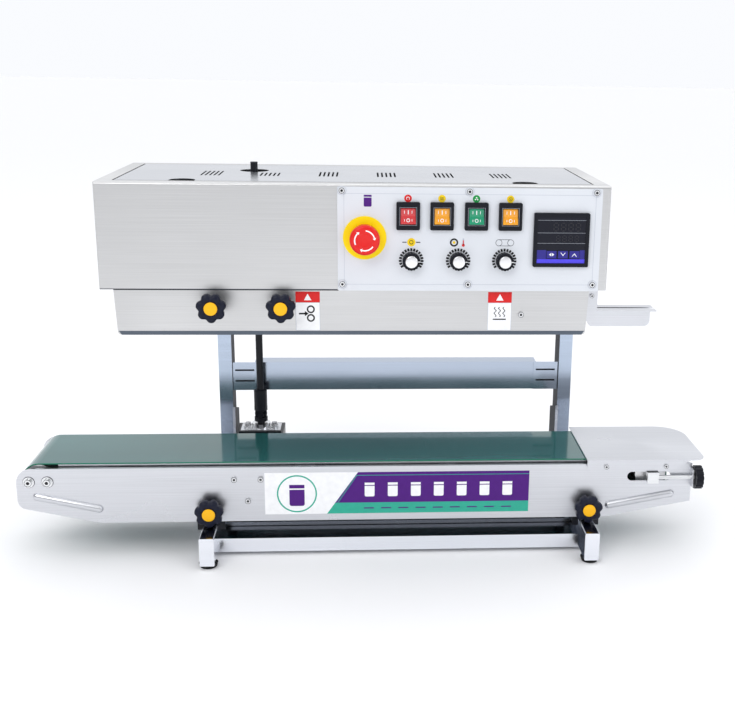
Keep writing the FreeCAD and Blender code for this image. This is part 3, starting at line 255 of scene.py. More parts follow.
NODE_LOOKS = {
    "head_casing": STEEL, "lower_guards": STEEL, "infeed_guides": PLATE_STEEL, "lid": LID_STEEL,
    "front_side_plate": PLATE_STEEL, "rear_side_plate": PLATE_STEEL, "bed_plate": PLATE_STEEL,
    "end_cover": PLATE_STEEL, "base_frame": TUBE_STEEL, "cross_panel": REST_STEEL, "base_plate": MACHINED,
    "rubber_feet": RUBBER, "height_brackets": BLACK_PAINT_AND_SHADE, "control_panel": WHITE_PANEL,
    "estop_collar": LEGEND, "switch_bezels": BLACK, "power_rocker": LENS_RED, "heating_rocker": LENS_AMBER,
    "fan_rocker": LENS_GREEN, "coder_rocker": LENS_AMBER, "position_dial": BLACK, "coder_heat_dial": BLACK,
    "speed_dial": BLACK, "temperature_controller": BLACK, "set_key": INK_BLUE, "down_key": INK_BLUE,
    "up_key": INK_BLUE, "casing_screws": BRIGHT, "conveyor_screws": BRIGHT, "gear_motor": GREY_ENAMEL,
    "heating_blocks": COPPER, "cooling_blocks": ALUMINIUM, "seal_belts": SEAL_BELT, "fan_housing": BLACK,
    "fan_rotor": BLACK, "power_supply": GREY_ENAMEL, "cable_gland": BLACK, "rear_drive_spindle": MACHINED,
    "front_drive_spindle": MACHINED, "front_idle_pulley": ALUMINIUM, "rear_idle_pulley": ALUMINIUM,
    "press_wheel": GREY_RUBBER, "press_anvil": GREY_RUBBER, "coder_wheel": MACHINED, "shaft_gear": MACHINED,
    "conveyor_belt": BELT, "shaft_bridge": BLACK_PAINT_AND_SHADE, "drive_roller": GREY_RUBBER, "head_roller": ALUMINIUM,
    "tail_axle": BRIGHT, "tail_roller": ALUMINIUM, "front_tension_knob": BLACK, "rear_tension_knob": BLACK,
    "universal_joint": BLACK_PAINT_AND_SHADE, "drive_shaft": BLACK_PAINT_AND_SHADE, "estop_button": RED,
}
SOFT_EDGES = {
    "head_casing": 0.5, "lower_guards": 0.4, "infeed_guides": 0.4, "lid": 0.25, "front_side_plate": 0.6,
    "rear_side_plate": 0.6, "end_cover": 0.45, "base_frame": 0.3, "cross_panel": 0.4, "control_panel": 0.4,
    "switch_bezels": 0.5, "temperature_controller": 0.5, "height_brackets": 0.4, "shaft_bridge": 0.5,
    "power_rocker": 0.5, "heating_rocker": 0.5, "fan_rocker": 0.5, "coder_rocker": 0.5, "casing_screws": 0.3,
    "conveyor_screws": 0.3, "estop_collar": 0.4, "gear_motor": 0.6, "drive_shaft": 0.3, "tail_axle": 0.5,
}
SOFT_ANGLE = math.radians(50)
for name, mat in NODE_LOOKS.items():
    mesh = nodes[name].data
    mesh.materials.clear()
    mesh.materials.append(mat)
for name, width in SOFT_EDGES.items():
    bevel = nodes[name].modifiers.new("soft_edges", "BEVEL")
    bevel.width = width * MM
    bevel.segments = 2
    bevel.limit_method = "ANGLE"
    bevel.angle_limit = SOFT_ANGLE


def second_look(name, mat, wanted):
    """Gives mat to the faces of a CAD node whose centre and normal pass the test."""
    obj = nodes[name]
    obj.data.materials.append(mat)
    index = len(obj.data.materials) - 1
    for face in obj.data.polygons:
        if wanted(obj.matrix_world @ face.center, face.normal):
            face.material_index = index


# the posts stand behind POSTS_Y and their gussets behind GUSSETS_Y, all above FEET_TOP;
# FACING is how squarely a face has to look along an axis
POSTS_Y, GUSSETS_Y, FEET_TOP, FACING = 80 * MM, 50 * MM, 60 * MM, 0.9
plate_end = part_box("front_side_plate")[1][0]
bridge_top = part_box("height_brackets")[1][2] - 5 * MM
frame_middle = sum(corner[0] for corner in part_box("base_frame")) / 2
PANEL_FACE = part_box("control_panel")[0][1]
second_look("base_frame", POST_STEEL, lambda p, n: p.y > POSTS_Y and p.z > FEET_TOP)
# the top faces of the feet and rails get a darker copy of the tube steel: painted shade under the conveyor
second_look("base_frame", FOOT_TOP_SHADE_STEEL, lambda p, n: p.z < FEET_TOP and n.z > FACING)
# the inner side faces of the posts get a near-black paint: painted shade
second_look("base_frame", POST_INNER_SHADE,
            lambda p, n: p.y > GUSSETS_Y and p.z > FEET_TOP and n.x * (frame_middle - p.x) > 0.1 * MM)
# the shaft bridge is black except its top, which is bright steel: the black on its legs and edges is painted
# shade
second_look("shaft_bridge", BRIGHT, lambda p, n: p.z > bridge_top + 0.2 * MM)
# the belt's front edge faces get a lighter green: painted reflection
second_look("conveyor_belt", BELT_EDGE_REFLECTION, lambda p, n: n.y < -FACING)
second_look("estop_collar", BLACK, lambda p, n: p.y > PANEL_FACE + 1 * MM)
for name in ("front_tension_knob", "rear_tension_knob"):
    second_look(name, BRIGHT, lambda p, n: p.x < plate_end + 1.5 * MM)


# ---------------------------------------------------------------- mesh helpers
def finish_mesh(name, bm, mat, body, sharp=35):
    """A smooth-shaded object from bm, riding on a body."""
    bmesh.ops.recalc_face_normals(bm, faces=bm.faces)
    mesh = bpy.data.meshes.new(name)
    bm.to_mesh(mesh)
    bm.free()
    mesh.materials.append(mat)
    mesh.shade_smooth()
    mesh.set_sharp_from_angle(angle=math.radians(sharp))
    obj = bpy.data.objects.new(name, mesh)
    scene.collection.objects.link(obj)
    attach(obj, body)
    return obj


def add_slab(bm, points, face, thick):
    """Adds a flat closed outline in XZ, standing thick proud of the plane y = face towards the front."""
    front = [bm.verts.new((x, face - thick, z)) for x, z in points]
    back = [bm.verts.new((x, face, z)) for x, z in points]
    bm.faces.new(front)
    bm.faces.new(list(reversed(back)))
    count = len(points)
    for n in range(count):
        m = (n + 1) % count
        bm.faces.new((front[n], back[n], back[m], front[m]))


def add_band(bm, centre, inner, outer, face, thick, start=0.0, end=360.0, steps=48):
    """Adds a flat ring or arc in XZ between two radii; angles are degrees from +X towards +Z."""
    full = abs(end - start - 360) < 1e-6
    count = steps if full else steps + 1
    section = ((inner, face - thick), (outer, face - thick), (outer, face), (inner, face))
    rows = []
    for n in range(count):
        angle = math.radians(start + (end - start) * n / steps)
        c, s = math.cos(angle), math.sin(angle)
        rows.append([bm.verts.new((centre[0] + r * c, y, centre[1] + r * s)) for r, y in section])
    pairs = [(n, (n + 1) % count) for n in range(count if full else count - 1)]
    for n, m in pairs:
        for k in range(4):
            j = (k + 1) % 4
            bm.faces.new((rows[n][k], rows[n][j], rows[m][j], rows[m][k]))
    if not full:
        bm.faces.new(rows[0])
        bm.faces.new(list(reversed(rows[-1])))


def circle(centre, radius, steps=40):
    """Points of a circle in XZ."""
    return [(centre[0] + radius * math.cos(2 * math.pi * n / steps),
             centre[1] + radius * math.sin(2 * math.pi * n / steps)) for n in range(steps)]


def rect(low_x, low_z, high_x, high_z):
    return [(low_x, low_z), (high_x, low_z), (high_x, high_z), (low_x, high_z)]


def around(spot, low_x, low_z, high_x, high_z):
    """A rectangle given in mm from a spot."""
    return rect(spot[0] + low_x * MM, spot[1] + low_z * MM, spot[0] + high_x * MM, spot[1] + high_z * MM)


# how thick prints are and how far small details stand proud
PRINT, FILM, MARK, HAIR = 0.12 * MM, 0.15 * MM, 0.1 * MM, 0.05 * MM


def print_shapes(name, shapes, face, mat, body, thick=PRINT):
    """Printed flat shapes of one ink, as one piece standing a hair proud of a face."""
    bm = bmesh.new()
    for shape in shapes:
        if isinstance(shape, dict):
            add_band(bm, face=face, thick=thick, **shape)
        else:
            add_slab(bm, shape, face, thick)
    return finish_mesh(name, bm, mat, body)


def ring(centre, inner, outer, start=0.0, end=360.0):
    return {"centre": centre, "inner": inner, "outer": outer, "start": start, "end": end}


def add_rings(bm, layers, outline, steps, centre):
    """Skins a solid over rings across Y; a layer is (y, inset) and outline(angle) is the radius."""
    loops = []
    for y, inset in layers:
        loop = []
        for n in range(steps):
            angle = 2 * math.pi * n / steps
            radius = max(outline(angle) - inset, HAIR)
            loop.append(bm.verts.new((centre[0] + radius * math.cos(angle), y,
                                      centre[1] + radius * math.sin(angle))))
        loops.append(loop)
    for one, two in zip(loops, loops[1:]):
        for n in range(steps):
            m = (n + 1) % steps
            bm.faces.new((one[n], one[m], two[m], two[n]))
    bm.faces.new(loops[0])
    bm.faces.new(list(reversed(loops[-1])))


def middle(node):
    """A node's centre."""
    low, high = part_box(node)
    return [(a + b) / 2 for a, b in zip(low, high)]


WELD = 0.001 * MM


def solids(name):
    """The low and high corners of each separate solid of a CAD node."""
    obj = nodes[name]
    bm = bmesh.new()
    bm.from_mesh(obj.data)
    bmesh.ops.remove_doubles(bm, verts=bm.verts, dist=WELD)
    seen, found = set(), []
    for start in bm.verts:
        if start in seen:
            continue
        seen.add(start)
        waiting, points = [start], []
        while waiting:
            vert = waiting.pop()
            points.append(obj.matrix_world @ vert.co)
            for edge in vert.link_edges:
                other = edge.other_vert(vert)
                if other not in seen:
                    seen.add(other)
                    waiting.append(other)
        found.append((Vector([min(p[k] for p in points) for k in range(3)]),
                      Vector([max(p[k] for p in points) for k in range(3)])))
    bm.free()
    return found


CONVEYOR_SCREWS = solids("conveyor_screws")
PLATE_MIDDLE = middle("conveyor_screws")[1]
SIDE_FACE = max(high[1] for low, high in CONVEYOR_SCREWS if high[1] < PLATE_MIDDLE)
REAR_FACE = min(low[1] for low, high in CONVEYOR_SCREWS if low[1] > PLATE_MIDDLE)

# ---------------------------------------------------------------- star knobs
STAR_LOBES, STAR_RADIUS, STAR_DEPTH, STAR_CURVE = 7, 20 * MM, 3.1 * MM, 1.7
CAP_PROUD, CAP_RADIUS, NECK_RADIUS, STUD_RADIUS = 1.2 * MM, 8.85 * MM, 8, 4


def star_outline(angle):
    """A knob rim with seven rounded grips, one of them pointing down."""
    wave = math.cos(STAR_LOBES * (angle + math.pi / 2))
    return STAR_RADIUS - STAR_DEPTH * ((1 - wave) / 2) ** STAR_CURVE


def star_knob(name, seat):
    """A moulded star knob with its neck, stud and yellow cap; seat is the face its neck bears on."""
    low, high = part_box(name)
    centre = (middle(name)[0], high[2] - STAR_RADIUS)
    face = low[1] + CAP_PROUD
    rim = [(1.2, 10.4), (0.6, 9.2), (0.1, 7.6), (0, 6), (0.2, 4.2), (0.9, 2.4), (2.1, 1.0), (3.8, 0.2),
           (6.5, 0), (12, 0.5), (15.2, 1.6), (16.6, 3), (17, 5)]
    bm = bmesh.new()
    add_rings(bm, [(face + y * MM, inset * MM) for y, inset in rim], star_outline, 140, centre)
    grip = finish_mesh(name + "_grip", bm, NAVY, name, 50)
    bm = bmesh.new()
    neck = [(face + 16.5 * MM, NECK_RADIUS), (seat - 0.6 * MM, NECK_RADIUS), (seat, NECK_RADIUS - 0.6),
            (seat, STUD_RADIUS), (high[1], STUD_RADIUS)]
    add_rings(bm, [(y, -radius * MM) for y, radius in neck], lambda angle: 0.0, 40, centre)
    shank = finish_mesh(name + "_shank", bm, BLACK, name)
    bm = bmesh.new()
    dome = [(0.4, 0), (-0.5, 0), (-0.95, 0.5), (-1.15, 1.6), (-1.2, 5), (-1.2, 8.7)]
    add_rings(bm, [(face + y * MM, inset * MM) for y, inset in dome], lambda angle: CAP_RADIUS, 48, centre)
    cap = finish_mesh(name + "_cap", bm, YELLOW, name, 60)
    for piece in (grip, shank, cap):
        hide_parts(name)


guard_low, guard_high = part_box("lower_guards")
for side in ("left", "right"):
    star_knob(f"{side}_pressure_knob", guard_low[1])
    star_knob(f"{side}_clamp_knob", SIDE_FACE)

# ---------------------------------------------------------------- control panel print
panel_low, panel_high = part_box("control_panel")


def outline_frame(low_x, low_z, high_x, high_z, width):
    """Four thin bars round a rectangle."""
    return [rect(low_x, low_z, high_x, low_z + width), rect(low_x, high_z - width, high_x, high_z),
            rect(low_x, low_z + width, low_x + width, high_z - width),
            rect(high_x - width, low_z + width, high_x, high_z - width)]


def panel_print(name, shapes, mat, layer=0):
    """Prints on the control panel's face; layer 1 lies over layer 0."""
    print_shapes(name, shapes, PANEL_FACE - layer * PRINT, mat, "frame")


INSET, LINE = 8.5 * MM, 0.5 * MM
panel_print("panel_border", outline_frame(panel_low[0] + INSET, panel_low[2] + INSET, panel_high[0] - INSET,
                                          panel_high[2] - INSET, LINE), INK_LINE)

BADGE_RADIUS = 5 * MM
SWITCHES = {"power": INK_RED, "heating": INK_YELLOW, "fan": INK_GREEN, "coder": INK_YELLOW}
rim_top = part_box("switch_bezels")[1][2]
for label, color in SWITCHES.items():
    x = middle(f"{label}_rocker")[0]
    badge = (x - 0.3 * MM, rim_top + 4.6 * MM)
    print_shapes(f"{label}_badge", [circle(badge, BADGE_RADIUS)], PANEL_FACE, color, "frame")
    marks = {
        "power": [ring(badge, 1.7 * MM, 2.4 * MM, -50, 230), around(badge, -0.35, 0.4, 0.35, 3)],
        "heating": [around(badge, dx - 0.3, -2.2, dx + 0.3, 2.2) for dx in (-1.5, 0, 1.5)],
        "fan": [circle((badge[0] + 1.6 * MM * math.cos(a), badge[1] + 1.6 * MM * math.sin(a)), 0.95 * MM, 16)
                for a in (math.pi / 2, math.pi * 7 / 6, math.pi * 11 / 6)],
        "coder": [ring(badge, 1.9 * MM, 2.5 * MM), circle(badge, 0.7 * MM, 16)],
    }[label]
    print_shapes(f"{label}_badge_mark", marks, PANEL_FACE - PRINT,
                 INK_WHITE if label in ("power", "fan") else INK_BLACK, "frame")


# the two sloping faces of a rocker, from its middle line to its upper and lower edge
ROCKER_Z, ROCKER_HALF = middle("switch_bezels")[2], 11.2 * MM
ROCKER_PIVOT_Y = PANEL_FACE - 3.2 * MM
ROCKER_TOP_Y, ROCKER_FOOT_Y = PANEL_FACE - 2.6 * MM, PANEL_FACE - 6.5 * MM


def rocker_marks(label):
    """The white on-line and off-ring printed on a rocker's two faces."""
    x, _, z = middle(f"{label}_rocker")
    bm = bmesh.new()
    add_slab(bm, around((x, z), -0.55, 2.6, 0.55, 8), 0, MARK)
    for dx in (-5, 5):
        for low_z, high_z in ((3.4, 7.4), (-6.6, -3.8)):
            add_slab(bm, around((x, z), dx - 0.35, low_z, dx + 0.35, high_z), 0, MARK)
    add_band(bm, (x, z - 5.2 * MM), 1.6 * MM, 2.4 * MM, 0, MARK, steps=28)
    for vert in bm.verts:
        rise = vert.co.z - ROCKER_Z
        end_y = ROCKER_TOP_Y if rise > 0 else ROCKER_FOOT_Y
        vert.co.y += ROCKER_PIVOT_Y + (end_y - ROCKER_PIVOT_Y) * abs(rise) / ROCKER_HALF - 0.02 * MM
    finish_mesh(f"{label}_rocker_marks", bm, INK_WHITE, f"{label}_rocker")


for label in SWITCHES:
    rocker_marks(label)

# ---------------------------------------------------------------- dials
DIALS = ("position_dial", "coder_heat_dial", "speed_dial")
TICKS, TICK_STEP = 17, 15.5
TICK_INNER, TICK_OUTER, TICK_HALF = 12.7 * MM, 16.6 * MM, 1.4 * MM
DIAL_CAP_RADIUS = 8.1 * MM
CAP_METAL = brushed_steel("dial_cap_metal", (0.86, 0.86, 0.87), 0.28, 0.03, 0.4)
for label in DIALS:
    x, _, z = middle(label)
    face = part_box(label)[0][1]
    ticks = []
    for n in range(TICKS):
        angle = math.radians(90 + TICK_STEP * (n - TICKS // 2))
        c, s = math.cos(angle), math.sin(angle)
        corners = ((TICK_INNER, -TICK_HALF), (TICK_OUTER, -TICK_HALF), (TICK_OUTER, TICK_HALF),
                   (TICK_INNER, TICK_HALF))
        ticks.append([(x + r * c - w * s, z + r * s + w * c) for r, w in corners])
    panel_print(f"{label}_scale", ticks, INK_BLACK)
    bm = bmesh.new()
    profile = [(face + 2.6 * MM, 0), (face + 0.5 * MM, 0), (face + HAIR, 0.4), (face - PRINT, 1.1),
               (face - PRINT, 6.2)]
    add_rings(bm, [(y, inset * MM) for y, inset in profile], lambda angle: DIAL_CAP_RADIUS, 48, (x, z))
    finish_mesh(f"{label}_cap", bm, CAP_METAL, label, 50)
    print_shapes(f"{label}_pointer", [around((x, z), 8.6, -0.45, 11.6, 0.45)], face + 3 * MM, INK_WHITE,
                 label)

dial_x = {label: middle(label)[0] for label in DIALS}
ICON_Z = middle("speed_dial")[2] + 24.5 * MM
spot = (dial_x["position_dial"], ICON_Z)
panel_print("coder_icon_disc", [circle(spot, 5.6 * MM)], INK_YELLOW)
panel_print("coder_icon_lines", [around(spot, -12, -0.6, -6.4, 0.6), around(spot, 6.4, -0.6, 12, 0.6)],
            INK_BLACK)
panel_print("coder_icon_ring", [ring(spot, 2 * MM, 2.8 * MM)], INK_BLACK, 1)
spot = (dial_x["coder_heat_dial"] - 6 * MM, ICON_Z)
panel_print("heat_icon_ring", [ring(spot, 3.4 * MM, 5.6 * MM)], INK_BLACK)
panel_print("heat_icon_core", [circle(spot, 1.9 * MM, 24)], INK_YELLOW)
spot = (dial_x["coder_heat_dial"] + 6.5 * MM, ICON_Z)
panel_print("thermometer_tube", [around(spot, -1.1, -3, 1.1, 5.6)], INK_LINE)
panel_print("thermometer_fill", [circle((spot[0], spot[1] - 3.6 * MM), 2 * MM, 24),
                                 around(spot, -0.6, -3, 0.6, 3)], INK_RED, 1)
spot = (dial_x["speed_dial"], ICON_Z)
panel_print("speed_icon", [ring((spot[0] - 8 * MM, spot[1]), 3.9 * MM, 4.5 * MM),
                           ring((spot[0] + 8 * MM, spot[1]), 3.9 * MM, 4.5 * MM),
                           around(spot, -8, 3.9, 8, 4.5), around(spot, -8, -4.5, 8, -3.9)], INK_DARK)

# ---------------------------------------------------------------- emergency stop arrows
stop_low, stop_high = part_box("estop_button")
stop = ((stop_low[0] + stop_high[0]) / 2, (stop_low[2] + stop_high[2]) / 2)
ARROW_HEAD = ((13.15, 2), (15.6, 15), (10.8, 15))
arrows = []
for turn in (0, 120, 240):
    arrows.append(ring(stop, 12.3 * MM, 14 * MM, 14 + turn, 84 + turn))
    arrows.append([(stop[0] + radius * MM * math.cos(math.radians(angle + turn)),
                    stop[1] + radius * MM * math.sin(math.radians(angle + turn)))
                   for radius, angle in ARROW_HEAD])
print_shapes("estop_arrows", arrows, stop_low[1], INK_WHITE, "estop_button", FILM)
bm = bmesh.new()
profile = [(stop_low[1] + 0.5 * MM, 0), (stop_low[1] - 0.25 * MM, 0.3), (stop_low[1] - 0.4 * MM, 1.2),
           (stop_low[1] - 0.1 * MM, 2.2), (stop_low[1] + HAIR, 9)]
add_rings(bm, [(y, inset * MM) for y, inset in profile], lambda angle: 10 * MM, 56, stop)
finish_mesh("estop_boss", bm, RED, "estop_button", 60)

# ---------------------------------------------------------------- temperature controller face
unit_low, unit_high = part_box("temperature_controller")
KEYS = ("set_key", "down_key", "up_key")
SCREEN = PANEL_FACE - 3.5 * MM
RIM = 5 * MM
left, right = unit_low[0] + RIM, unit_high[0] - RIM
floor_z, roof_z = unit_low[2] + RIM, unit_high[2] - RIM
key_z = middle("set_key")[2]
band = (key_z - 6 * MM, key_z + 6 * MM)
print_shapes("controller_glass", [rect(left, band[1], right, roof_z)], SCREEN, GLASS_BLACK, "frame",
             FILM)
key_edges = [left]
for key in KEYS:
    key_low, key_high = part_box(key)
    key_edges += [key_low[0] - 0.4 * MM, key_high[0] + 0.4 * MM]
key_edges.append(right)
print_shapes("controller_blue_cells", [rect(a + 0.2 * MM, band[0], b - 0.2 * MM, band[1])
                                       for a, b in zip(key_edges[::2], key_edges[1::2]) if b - a > 1.5 * MM],
             SCREEN, INK_BLUE, "frame", MARK)
print_shapes("controller_strip", [rect(left, floor_z + 0.2 * MM, right, band[0] - 0.3 * MM)], SCREEN,
             INK_BRIGHT_BLUE, "frame", MARK)
lines = [rect(left, z, right, z + LINE) for z in (roof_z - 5 * MM, roof_z - 22 * MM, roof_z - 36 * MM)]
print_shapes("controller_lines", lines, SCREEN - FILM, INK_GREY, "frame", HAIR)


def seven_segments(x, z, wide, tall, stroke):
    """An eight as seven bars, unlit."""
    bars = []
    for level in (0, 0.5, 1):
        bar_z = z + level * tall
        bars.append(rect(x + stroke, bar_z - stroke / 2, x + wide - stroke, bar_z + stroke / 2))
    for column in (0, wide):
        for level in (0, 0.5):
            low_z = z + level * tall + stroke * 0.7
            bars.append(rect(x + column - stroke / 2, low_z, x + column + stroke / 2,
                             low_z + tall / 2 - stroke * 1.4))
    return bars


digits = []
for n in range(4):
    digits += seven_segments(left + (22 + 10 * n) * MM, roof_z - 19 * MM, 6 * MM, 10.5 * MM, 1.3 * MM)
    digits += seven_segments(left + (26 + 8.4 * n) * MM, roof_z - 33.5 * MM, 4.8 * MM, 8 * MM, 1.0 * MM)
print_shapes("controller_digits", digits, SCREEN - FILM, INK_SEGMENT, "frame", HAIR)


def chevron(x, z, rise):
    """A thick open arrow, pointing up for a positive rise."""
    half, stroke = 3.1 * MM, 1.2 * MM
    return [(x - half, z - rise / 2), (x, z + rise / 2), (x + half, z - rise / 2),
            (x + half, z - rise / 2 - stroke * math.copysign(1, rise)),
            (x, z + rise / 2 - stroke * math.copysign(1.3, rise)),
            (x - half, z - rise / 2 - stroke * math.copysign(1, rise))]


for key in KEYS:
    x, _, z = middle(key)
    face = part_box(key)[0][1]
    if key == "set_key":
        shapes = [[(x - 3.6 * MM, z), (x - 0.5 * MM, z + 2.4 * MM), (x - 0.5 * MM, z - 2.4 * MM)],
                  [(x + 3.6 * MM, z), (x + 0.5 * MM, z - 2.4 * MM), (x + 0.5 * MM, z + 2.4 * MM)]]
    else:
        shapes = [chevron(x, z, (4 if key == "up_key" else -4) * MM)]
    print_shapes(f"{key}_symbol", shapes, face, INK_WHITE, key, 0.08 * MM)

# ---------------------------------------------------------------- guard stickers
STICKER_WIDE, STICKER_LOW, STICKER_HIGH, STICKER_HEAD = 32.7 * MM, 6 * MM, 60 * MM, 15 * MM


def triangle(x, z, size):
    return [(x - size, z - size * 0.8), (x + size, z - size * 0.8), (x, z + size)]


def warning_sticker(name, low_x, kind):
    """A label with a red head, a white triangle and a pictogram, and no words."""
    high_x = low_x + STICKER_WIDE
    low_z, high_z = guard_low[2] + STICKER_LOW, guard_low[2] + STICKER_HIGH
    split = high_z - STICKER_HEAD
    face = guard_low[1]
    print_shapes(name + "_base", [rect(low_x, low_z, high_x, split)], face, INK_WHITE, "frame")
    print_shapes(name + "_head", [rect(low_x, split, high_x, high_z)], face, INK_RED, "frame")
    over = face - PRINT
    mid_x = (low_x + high_x) / 2
    print_shapes(name + "_triangle", [triangle(mid_x, split + 7 * MM, 5 * MM)], over, INK_WHITE, "frame")
    print_shapes(name + "_edge", outline_frame(low_x, low_z, high_x, split, LINE), over, INK_LINE, "frame")
    z = split - 14 * MM
    if kind == "pinch":
        shapes = [ring((mid_x + 4 * MM, z + 4.5 * MM), 3.4 * MM, 5.4 * MM),
                  ring((mid_x + 4 * MM, z - 7.5 * MM), 3.4 * MM, 5.4 * MM),
                  around((mid_x, z), -12, -2.6, -3, -0.4),
                  [(mid_x + dx * MM, z + dz * MM) for dx, dz in ((-4, -5), (1, -1.5), (-4, 2))]]
    else:
        shapes = [around((mid_x, z), -9, -10, 9, -8.4)]
        for dx in (-6, 0, 6):
            wave = []
            for n in range(13):
                level = z - 6 * MM + 14 * MM * n / 12
                wave.append((mid_x + dx * MM + 1.4 * MM * math.sin(n * math.pi / 3), level))
            shapes.append([(x - 0.6 * MM, level) for x, level in wave]
                          + [(x + 0.6 * MM, level) for x, level in reversed(wave)])
    print_shapes(name + "_pictogram", shapes, over - HAIR, INK_BLACK, "frame")


# ---------------------------------------------------------------- conveyor decal
plate_low, plate_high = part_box("front_side_plate")
decal_left, decal_right = middle("left_clamp_knob")[0] + 74.5 * MM, middle("right_clamp_knob")[0] - 83 * MM
decal_low, decal_high = plate_low[2] + 9.5 * MM, plate_high[2] - 8.5 * MM
slant_low, slant_high = decal_left + 85 * MM, decal_left + 128 * MM
teal_top = decal_low + 16 * MM


def slant(z):
    """Where the white field meets the coloured one at height z."""
    return slant_low + (slant_high - slant_low) * (z - decal_low) / (decal_high - decal_low)


def decal_print(name, shapes, mat, layer=0):
    """Prints on the conveyor's front plate; layer 1 lies over layer 0."""
    print_shapes(name, shapes, SIDE_FACE - layer * PRINT, mat, "conveyor")


decal_print("decal_white", [[(decal_left, decal_low), (slant(decal_low), decal_low),
                             (slant(decal_high), decal_high), (decal_left, decal_high)]],
            INK_WHITE)
decal_print("decal_purple", [[(slant(teal_top), teal_top), (decal_right, teal_top),
                              (decal_right, decal_high), (slant(decal_high), decal_high)]],
            INK_PURPLE)
decal_print("decal_teal", [[(slant(decal_low), decal_low), (decal_right, decal_low),
                            (decal_right, teal_top), (slant(teal_top), teal_top)]], INK_TEAL)
line_z = decal_high - 5 * MM
decal_print("decal_hairline", [rect(slant(line_z) + 1 * MM, line_z, decal_right, line_z + 0.7 * MM),
                               [(slant(teal_top) + 3 * MM, teal_top), (slant(teal_top) + 4 * MM, teal_top),
                                (slant(line_z) + 2 * MM, line_z), (slant(line_z) + 1 * MM, line_z)]],
            INK_TEAL, 1)


def bag_icon(x, z, size):
    """A pouch with a rounded foot and a sealed band above its body."""
    wide, corner = 0.40 * size, 0.12 * size
    lower = []
    for sign, first in ((-1, 180), (1, 270)):
        for angle in [math.radians(first + 15 * n) for n in range(7)]:
            lower.append((x + sign * (wide - corner) + corner * math.cos(angle),
                          z + corner + corner * math.sin(angle)))
    lower += [(x + wide, z + 0.92 * size), (x - wide, z + 0.92 * size)]
    return [lower, rect(x - wide, z + 1.0 * size, x + wide, z + 1.2 * size)]


icons = []
for n in range(7):
    icons += bag_icon(slant_high + (16 + 32 * n) * MM, teal_top + 9 * MM, 17 * MM)
decal_print("decal_bags", icons, INK_WHITE, 1)
dashes = [around((slant_high, decal_low), 8 + 24 * n, 7, 22 + 24 * n, 8.6) for n in range(9)]
decal_print("decal_dashes", dashes, INK_PURPLE, 1)
mark = (middle("estop_button")[0] + 4 * MM, panel_high[2] - 26 * MM)
panel_print("panel_mark", bag_icon(*mark, 13 * MM), INK_PURPLE)
emblem_x = decal_left + 44 * MM
decal_print("decal_emblem_bag", bag_icon(emblem_x, decal_low + 12 * MM, 26 * MM), INK_PURPLE, 1)
decal_print("decal_emblem_ring", [ring((emblem_x, decal_low + 30 * MM), 25.5 * MM, 27.5 * MM)], INK_TEAL,
            1)

# ---------------------------------------------------------------- belt joint
belt_low, belt_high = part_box("conveyor_belt")
bm = bmesh.new()
SPLICE_WIDE, SPLICE_SLANT = 1.2 * MM, 20 * MM
splice_x = belt_low[0] + 210 * MM
corners = [(splice_x, belt_low[1]), (splice_x + SPLICE_WIDE, belt_low[1]),
           (splice_x + SPLICE_WIDE + SPLICE_SLANT, belt_high[1]), (splice_x + SPLICE_SLANT, belt_high[1])]
top = [bm.verts.new((x, y, belt_high[2] + HAIR)) for x, y in corners]
under = [bm.verts.new((x, y, belt_high[2] - 0.2 * MM)) for x, y in corners]
bm.faces.new(top)
bm.faces.new(list(reversed(under)))
for n in range(4):
    m = (n + 1) % 4
    bm.faces.new((top[n], under[n], under[m], top[m]))
finish_mesh("belt_splice", bm, BELT, "conveyor")

# ---------------------------------------------------------------- small hardware
# a screw looks to the back when it sits behind REAR_SIDE, and has a washer when it is thicker than WASHERED
REAR_SIDE, WASHERED, PRINT_BACK = PLATE_MIDDLE + 30 * MM, 4 * MM, -0.02 * MM
# the painted socket, and the inner and outer edge of the painted rim shade, as shares of the head's radius
PLAIN_HEAD, WASHER_HEAD = (0.47, 0.82, 0.98), (0.32, 0.59, 0.67)


def screw_head(low, high):
    """The centre, radius and outer face of a screw head lying along Y, and the side it looks to."""
    side = 1 if low[1] > REAR_SIDE else -1
    spot = ((low[0] + high[0]) / 2, (low[2] + high[2]) / 2)
    return spot, (high[2] - low[2]) / 2, (high if side > 0 else low)[1], side


def screw_shade_marks(name, screws, body):
    """Painted shade on each screw: a black socket and a dark rim on the outer face, and a dark outline round
    the washer of the thick ones.
    """
    sockets, rim_shades = bmesh.new(), bmesh.new()
    for low, high in screws:
        spot, radius, face, side = screw_head(low, high)
        print_face = face + (PRINT if side > 0 else PRINT_BACK)
        washered = high[1] - low[1] > WASHERED
        socket, inner, outer = WASHER_HEAD if washered else PLAIN_HEAD
        add_slab(sockets, circle(spot, radius * socket, 6), print_face, MARK)
        add_band(rim_shades, spot, radius * inner, radius * outer, print_face, MARK)
        if washered:
            plate_face = (low if side > 0 else high)[1]
            add_band(rim_shades, spot, radius, radius + 0.7 * MM, plate_face + (PRINT if side > 0 else 0), PRINT)
    finish_mesh(name + "_socket_shade", sockets, INK_BLACK, body)
    finish_mesh(name + "_rim_shade", rim_shades, INK_DARK, body)


CASING_SCREWS = solids("casing_screws")
panel_screws = [screw_head(*corners)[0] for corners in CASING_SCREWS if corners[0][2] > panel_low[2]]
guard_screw = [screw_head(*corners)[0] for corners in CASING_SCREWS
               if abs(corners[1][1] - guard_low[1]) < 0.5 * MM][0]
screw_shade_marks("casing_screw", CASING_SCREWS, "frame")
screw_shade_marks("conveyor_screw", CONVEYOR_SCREWS, "conveyor")
panel_print("panel_screw_rings", [ring(spot, 5.6 * MM, 6.1 * MM) for spot in panel_screws], INK_LINE)
warning_sticker("pinch_sticker", middle("right_pressure_knob")[0] + 17.6 * MM, "pinch")
warning_sticker("heat_sticker", guard_screw[0] - 46 * MM, "heat")
